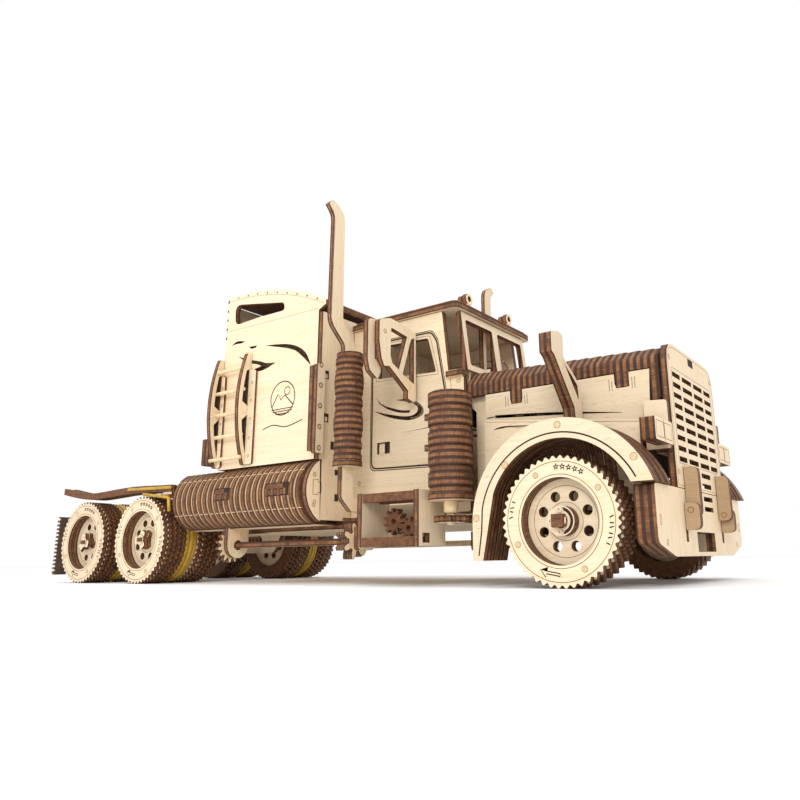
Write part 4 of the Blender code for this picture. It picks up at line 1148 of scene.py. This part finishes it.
def frame_cross_pieces():
    """Plates across the frame, and the brackets and pins that hold the motor bands."""
    pins = Piece("frame_cross_pieces", "chassis")
    bridge = box_outline(-56.0, 56.0, 50.4, 54.2, 0.6)
    low = box_outline(-20.2, 20.2, 34.0, 42.0)
    tall = box_outline(-20.3, 20.3, 33.0, 42.6)
    for x, outline in ((-190.0, low), (-88.0, bridge), (-66.0, low), (-150.0, tall),
                       (-100.0, tall)):
        pins.plate("YZ", [outline], (x, x + PLY))
    for side in (1, -1):
        pins.plate("XZ", [rounded([(-100.0, 33.4), (-60.0, 33.4), (-60.0, 49.0, 3), (-84.0, 49.0, 3),
                                   (-84.0, 55.6, 2), (-92.0, 55.6, 2)])],
                   (side * 24.0, side * 27.0))
        pins.rod((BAND_REAR_X, side * 24.5, BAND_Z), (BAND_REAR_X, side * 55.5, BAND_Z), 1.5, RUNG)
        pins.rod((BAND_FRONT_X, side * 24.0, BAND_Z), (BAND_FRONT_X, side * 44.0, BAND_Z), 1.5, RUNG)
        pins.plate("XZ", [box_outline(-91.0, -82.8, 49.9, 51.8)], (side * 56.9, side * 65.9))
    pins.done()


def motor_bands():
    """Rubber bands stretched between the pins, and from the frame to the mudguards."""
    bands = Piece("motor_bands", "chassis")
    for side in (1, -1):
        for k in range(3):
            y = side * (31.0 + 4.2 * k)
            for lift in (-1.75, 1.75):
                bands.rod((BAND_REAR_X, y, BAND_Z + lift),
                          (BAND_FRONT_X, y + side * 0.6, BAND_Z + lift * 0.92), 0.8, RUBBER, 8)
            for x, end in ((BAND_REAR_X, 270), (BAND_FRONT_X, -90)):
                hook = arc(x, BAND_Z, 2.5, 90, end, 10) + arc(x, BAND_Z, 1.55, end, 90, 10)
                bands.plate("XZ", [hook], (y - 0.8, y + 0.8), RUBBER, RUBBER)
        for start, end in (((-125.0, 54.9), (-82.0, 53.6)), ((-109.0, 51.3), (-83.5, 48.0)),
                           ((-83.5, 48.0), (-82.0, 40.0))):
            for y in (55.2, 67.1):
                bands.rod((start[0], side * y, start[1]), (end[0], side * y, end[1]), 0.95, RUBBER, 8)
    bands.done(bevel=0, slot="burnt_edge")


def hangers():
    """Rod under the left tank with its hangers, and the plates that carry both tanks."""
    hanger = Piece("far_hanger", "chassis")
    ring = [(43.0, 29.6), (57.0, 29.6)] + arc(50.0, 20.4, 7.0, 0, -180, 12)
    hanger.plate("YZ", [ring, circle(50.0, 20.4, 2.4, 16)], (-44.5, -41.5))
    hanger.rod((-47.0, 50.0, 20.4), (54.0, 50.0, 20.4), 1.7, RUNG)
    for side in (1, -1):
        hanger.plate("YZ", [flip(rounded([(45.0, 16.0, 2), (56.0, 16.0, 2), (56.0, 26.9),
                                          (45.0, 26.9)]), side),
                            circle(side * 50.0, 20.4, 2.6, 16)], (50.0, 53.0))
        for x in (-58.0, -20.0, 14.0):
            hanger.plate("YZ", [box_outline(*sorted((side * 26.0, side * 46.0)), 32.4, 42.6)],
                         (x, x + PLY))
    hanger.done()


def axle_ends():
    for word, side in SIDES:
        piece = Piece(f"axle_end_{word}", f"knuckle_{word}", side)
        x = FRONT_AXLE_X
        piece.plate("XZ", [box_outline(x - 2.5, x + 2.5, AXLE_Z - 2.5, AXLE_Z + 2.5)],
                    (64.85, 67.6), BURN)
        piece.plate("XZ", [box_outline(x + 0.4, x + 3.0, AXLE_Z - 1.3, AXLE_Z + 1.3)], (64.85, 66.2))
        piece.done()
    for number, x in enumerate(REAR_AXLES_X, 1):
        piece = Piece(f"axle_caps_{number}", f"rear_axle_{number}")
        for side in (1, -1):
            piece.plate("XZ", [box_outline(x - 2.2, x + 2.2, AXLE_Z - 1.1, AXLE_Z + 1.1)],
                        (side * 67.42, side * 68.2), BURN)
        piece.done()


def shift_shaft():
    """Square shaft with a gear at its rear and a pinion at its front."""
    y, z = -50.0, 20.4
    piece = Piece("shift_shaft", "selector_shaft")
    piece.plate("XY", [box_outline(-46.5, 59.5, y - 1.6, y + 1.6)], (z - 1.6, z + 1.6))
    piece.plate("YZ", [gear_outline(y, z, 15, 1.1)], (-49.5, -46.5))
    piece.plate("YZ", [gear_outline(y, z, 7, 1.9871)], (40.0, 42.95))
    piece.plate("YZ", [gear_outline(y, z, 7, 1.9871)], (43.05, 46.0))
    piece.done("selector_shaft")


CAD_PLANES = {
    "XZ": ["frame_rail_left", "frame_rail_right", "firewall", "cab_side_left", "cab_side_right",
           "knuckle_left", "knuckle_right", "rear_axle_1", "rear_axle_2", "idler_gear"],
    "YZ": ["bumper", "grille_plate", "headlight_left",
           "headlight_right", "front_axle_beam", "windshield_frame", "sleeper_front",
           "sleeper_back", "fan", "selector_bracket"],
    "XY": ["chassis_floor", "fifth_wheel_base", "cab_roof", "tie_rod", "fifth_wheel"],
}


def finish_cad():
    for plane, names in CAD_PLANES.items():
        for name in names:
            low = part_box(name)[0][PLANES[plane][0]]
            material = cad_material(plane, low)
            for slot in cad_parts[name].material_slots:
                slot.material = material
    for word, side in SIDES:
        # the bumper guards' faces get painted shade
        material = cad_material("XZ", side * GUARD_JOIN * MM, True)
        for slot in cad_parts[f"bumper_guard_{word}"].material_slots:
            slot.material = material


# ---------------------------------------------------------------- setting

def camera():
    """Low three-quarter view from the front right."""
    place = Vector((0.28614, -0.31330, 0.01157))
    yaw, pitch, roll = 0.5987, 0.2446, -0.0147
    forward = Vector((-math.sin(yaw) * math.cos(pitch), math.cos(yaw) * math.cos(pitch),
                      math.sin(pitch)))
    level = Vector((math.cos(yaw), math.sin(yaw), 0))
    above = level.cross(forward)
    right = level * math.cos(roll) + above * math.sin(roll)
    up = above * math.cos(roll) - level * math.sin(roll)
    data = bpy.data.cameras.new("camera")
    data.sensor_width = 36
    data.lens = 31.98735
    data.shift_x = -0.0712625
    data.shift_y = -0.023725
    data.clip_start = 0.005
    made = bpy.data.objects.new("camera", data)
    pose = Matrix((right, up, -forward)).transposed().to_4x4()
    pose.translation = place
    made.matrix_world = pose
    bpy.context.collection.objects.link(made)
    bpy.context.scene.camera = made


def lamp(name, place, target, size, power):
    data = bpy.data.lights.new(name, "AREA")
    data.size = size
    data.energy = power
    made = bpy.data.objects.new(name, data)
    made.location = place
    aim = Vector(target) - Vector(place)
    made.rotation_euler = aim.to_track_quat("-Z", "Y").to_euler()
    bpy.context.collection.objects.link(made)


def white_floor():
    graph = Graph("floor", 0.9)
    graph.shader.inputs["Base Color"].default_value = (0.96, 0.96, 0.96, 1)
    mesh = bpy.data.meshes.new("floor")
    reach = 6.0
    mesh.from_pydata([(-reach, -reach, 0), (reach, -reach, 0), (reach, reach, 0),
                      (-reach, reach, 0)], [], [(0, 1, 2, 3)])
    mesh.materials.append(graph.material)
    floor = bpy.data.objects.new("floor", mesh)
    bpy.context.collection.objects.link(floor)


def studio():
    """Plain white surroundings, a key lamp from the front right and a soft one above."""
    world = bpy.data.worlds.new("studio")
    world.use_nodes = True
    sky = world.node_tree.nodes["Background"]
    sky.inputs["Color"].default_value = (1, 1, 1, 1)
    sky.inputs["Strength"].default_value = 1.0
    bpy.context.scene.world = world
    bpy.context.scene.view_settings.view_transform = "Standard"
    lamp("key", (0.55, -0.95, 0.55), (0.02, 0, 0.07), 0.35, 5.2)
    lamp("top", (-0.2, -0.3, 1.2), (0, 0, 0.05), 0.8, 4)


def build():
    camera()
    white_floor()
    studio()
    finish_cad()
    for word, side in SIDES:
        front_wheel(word, side)
        for number, x in enumerate(REAR_AXLES_X, 1):
            rear_dual(number, x, word, side)
            rear_bands(number, x, word, side)
        for make in (front_fender, wing_web, hood_side, hood_mirror, door, sleeper_side,
                     sleeper_front_trim, ladder, fuel_tank, exhaust, air_cleaner, side_gear,
                     step_box, mudguard):
            make(word, side)
    for make in (hood_ribs, front_engraving, grille_backing, engine, cab_engraving, roof_edges,
                 scuttle, cab_seats, sleeper_planks, sleeper_rear_trim, rear_end,
                 frame_cross_pieces, motor_bands, hangers, axle_ends, shift_shaft):
        make()


build()
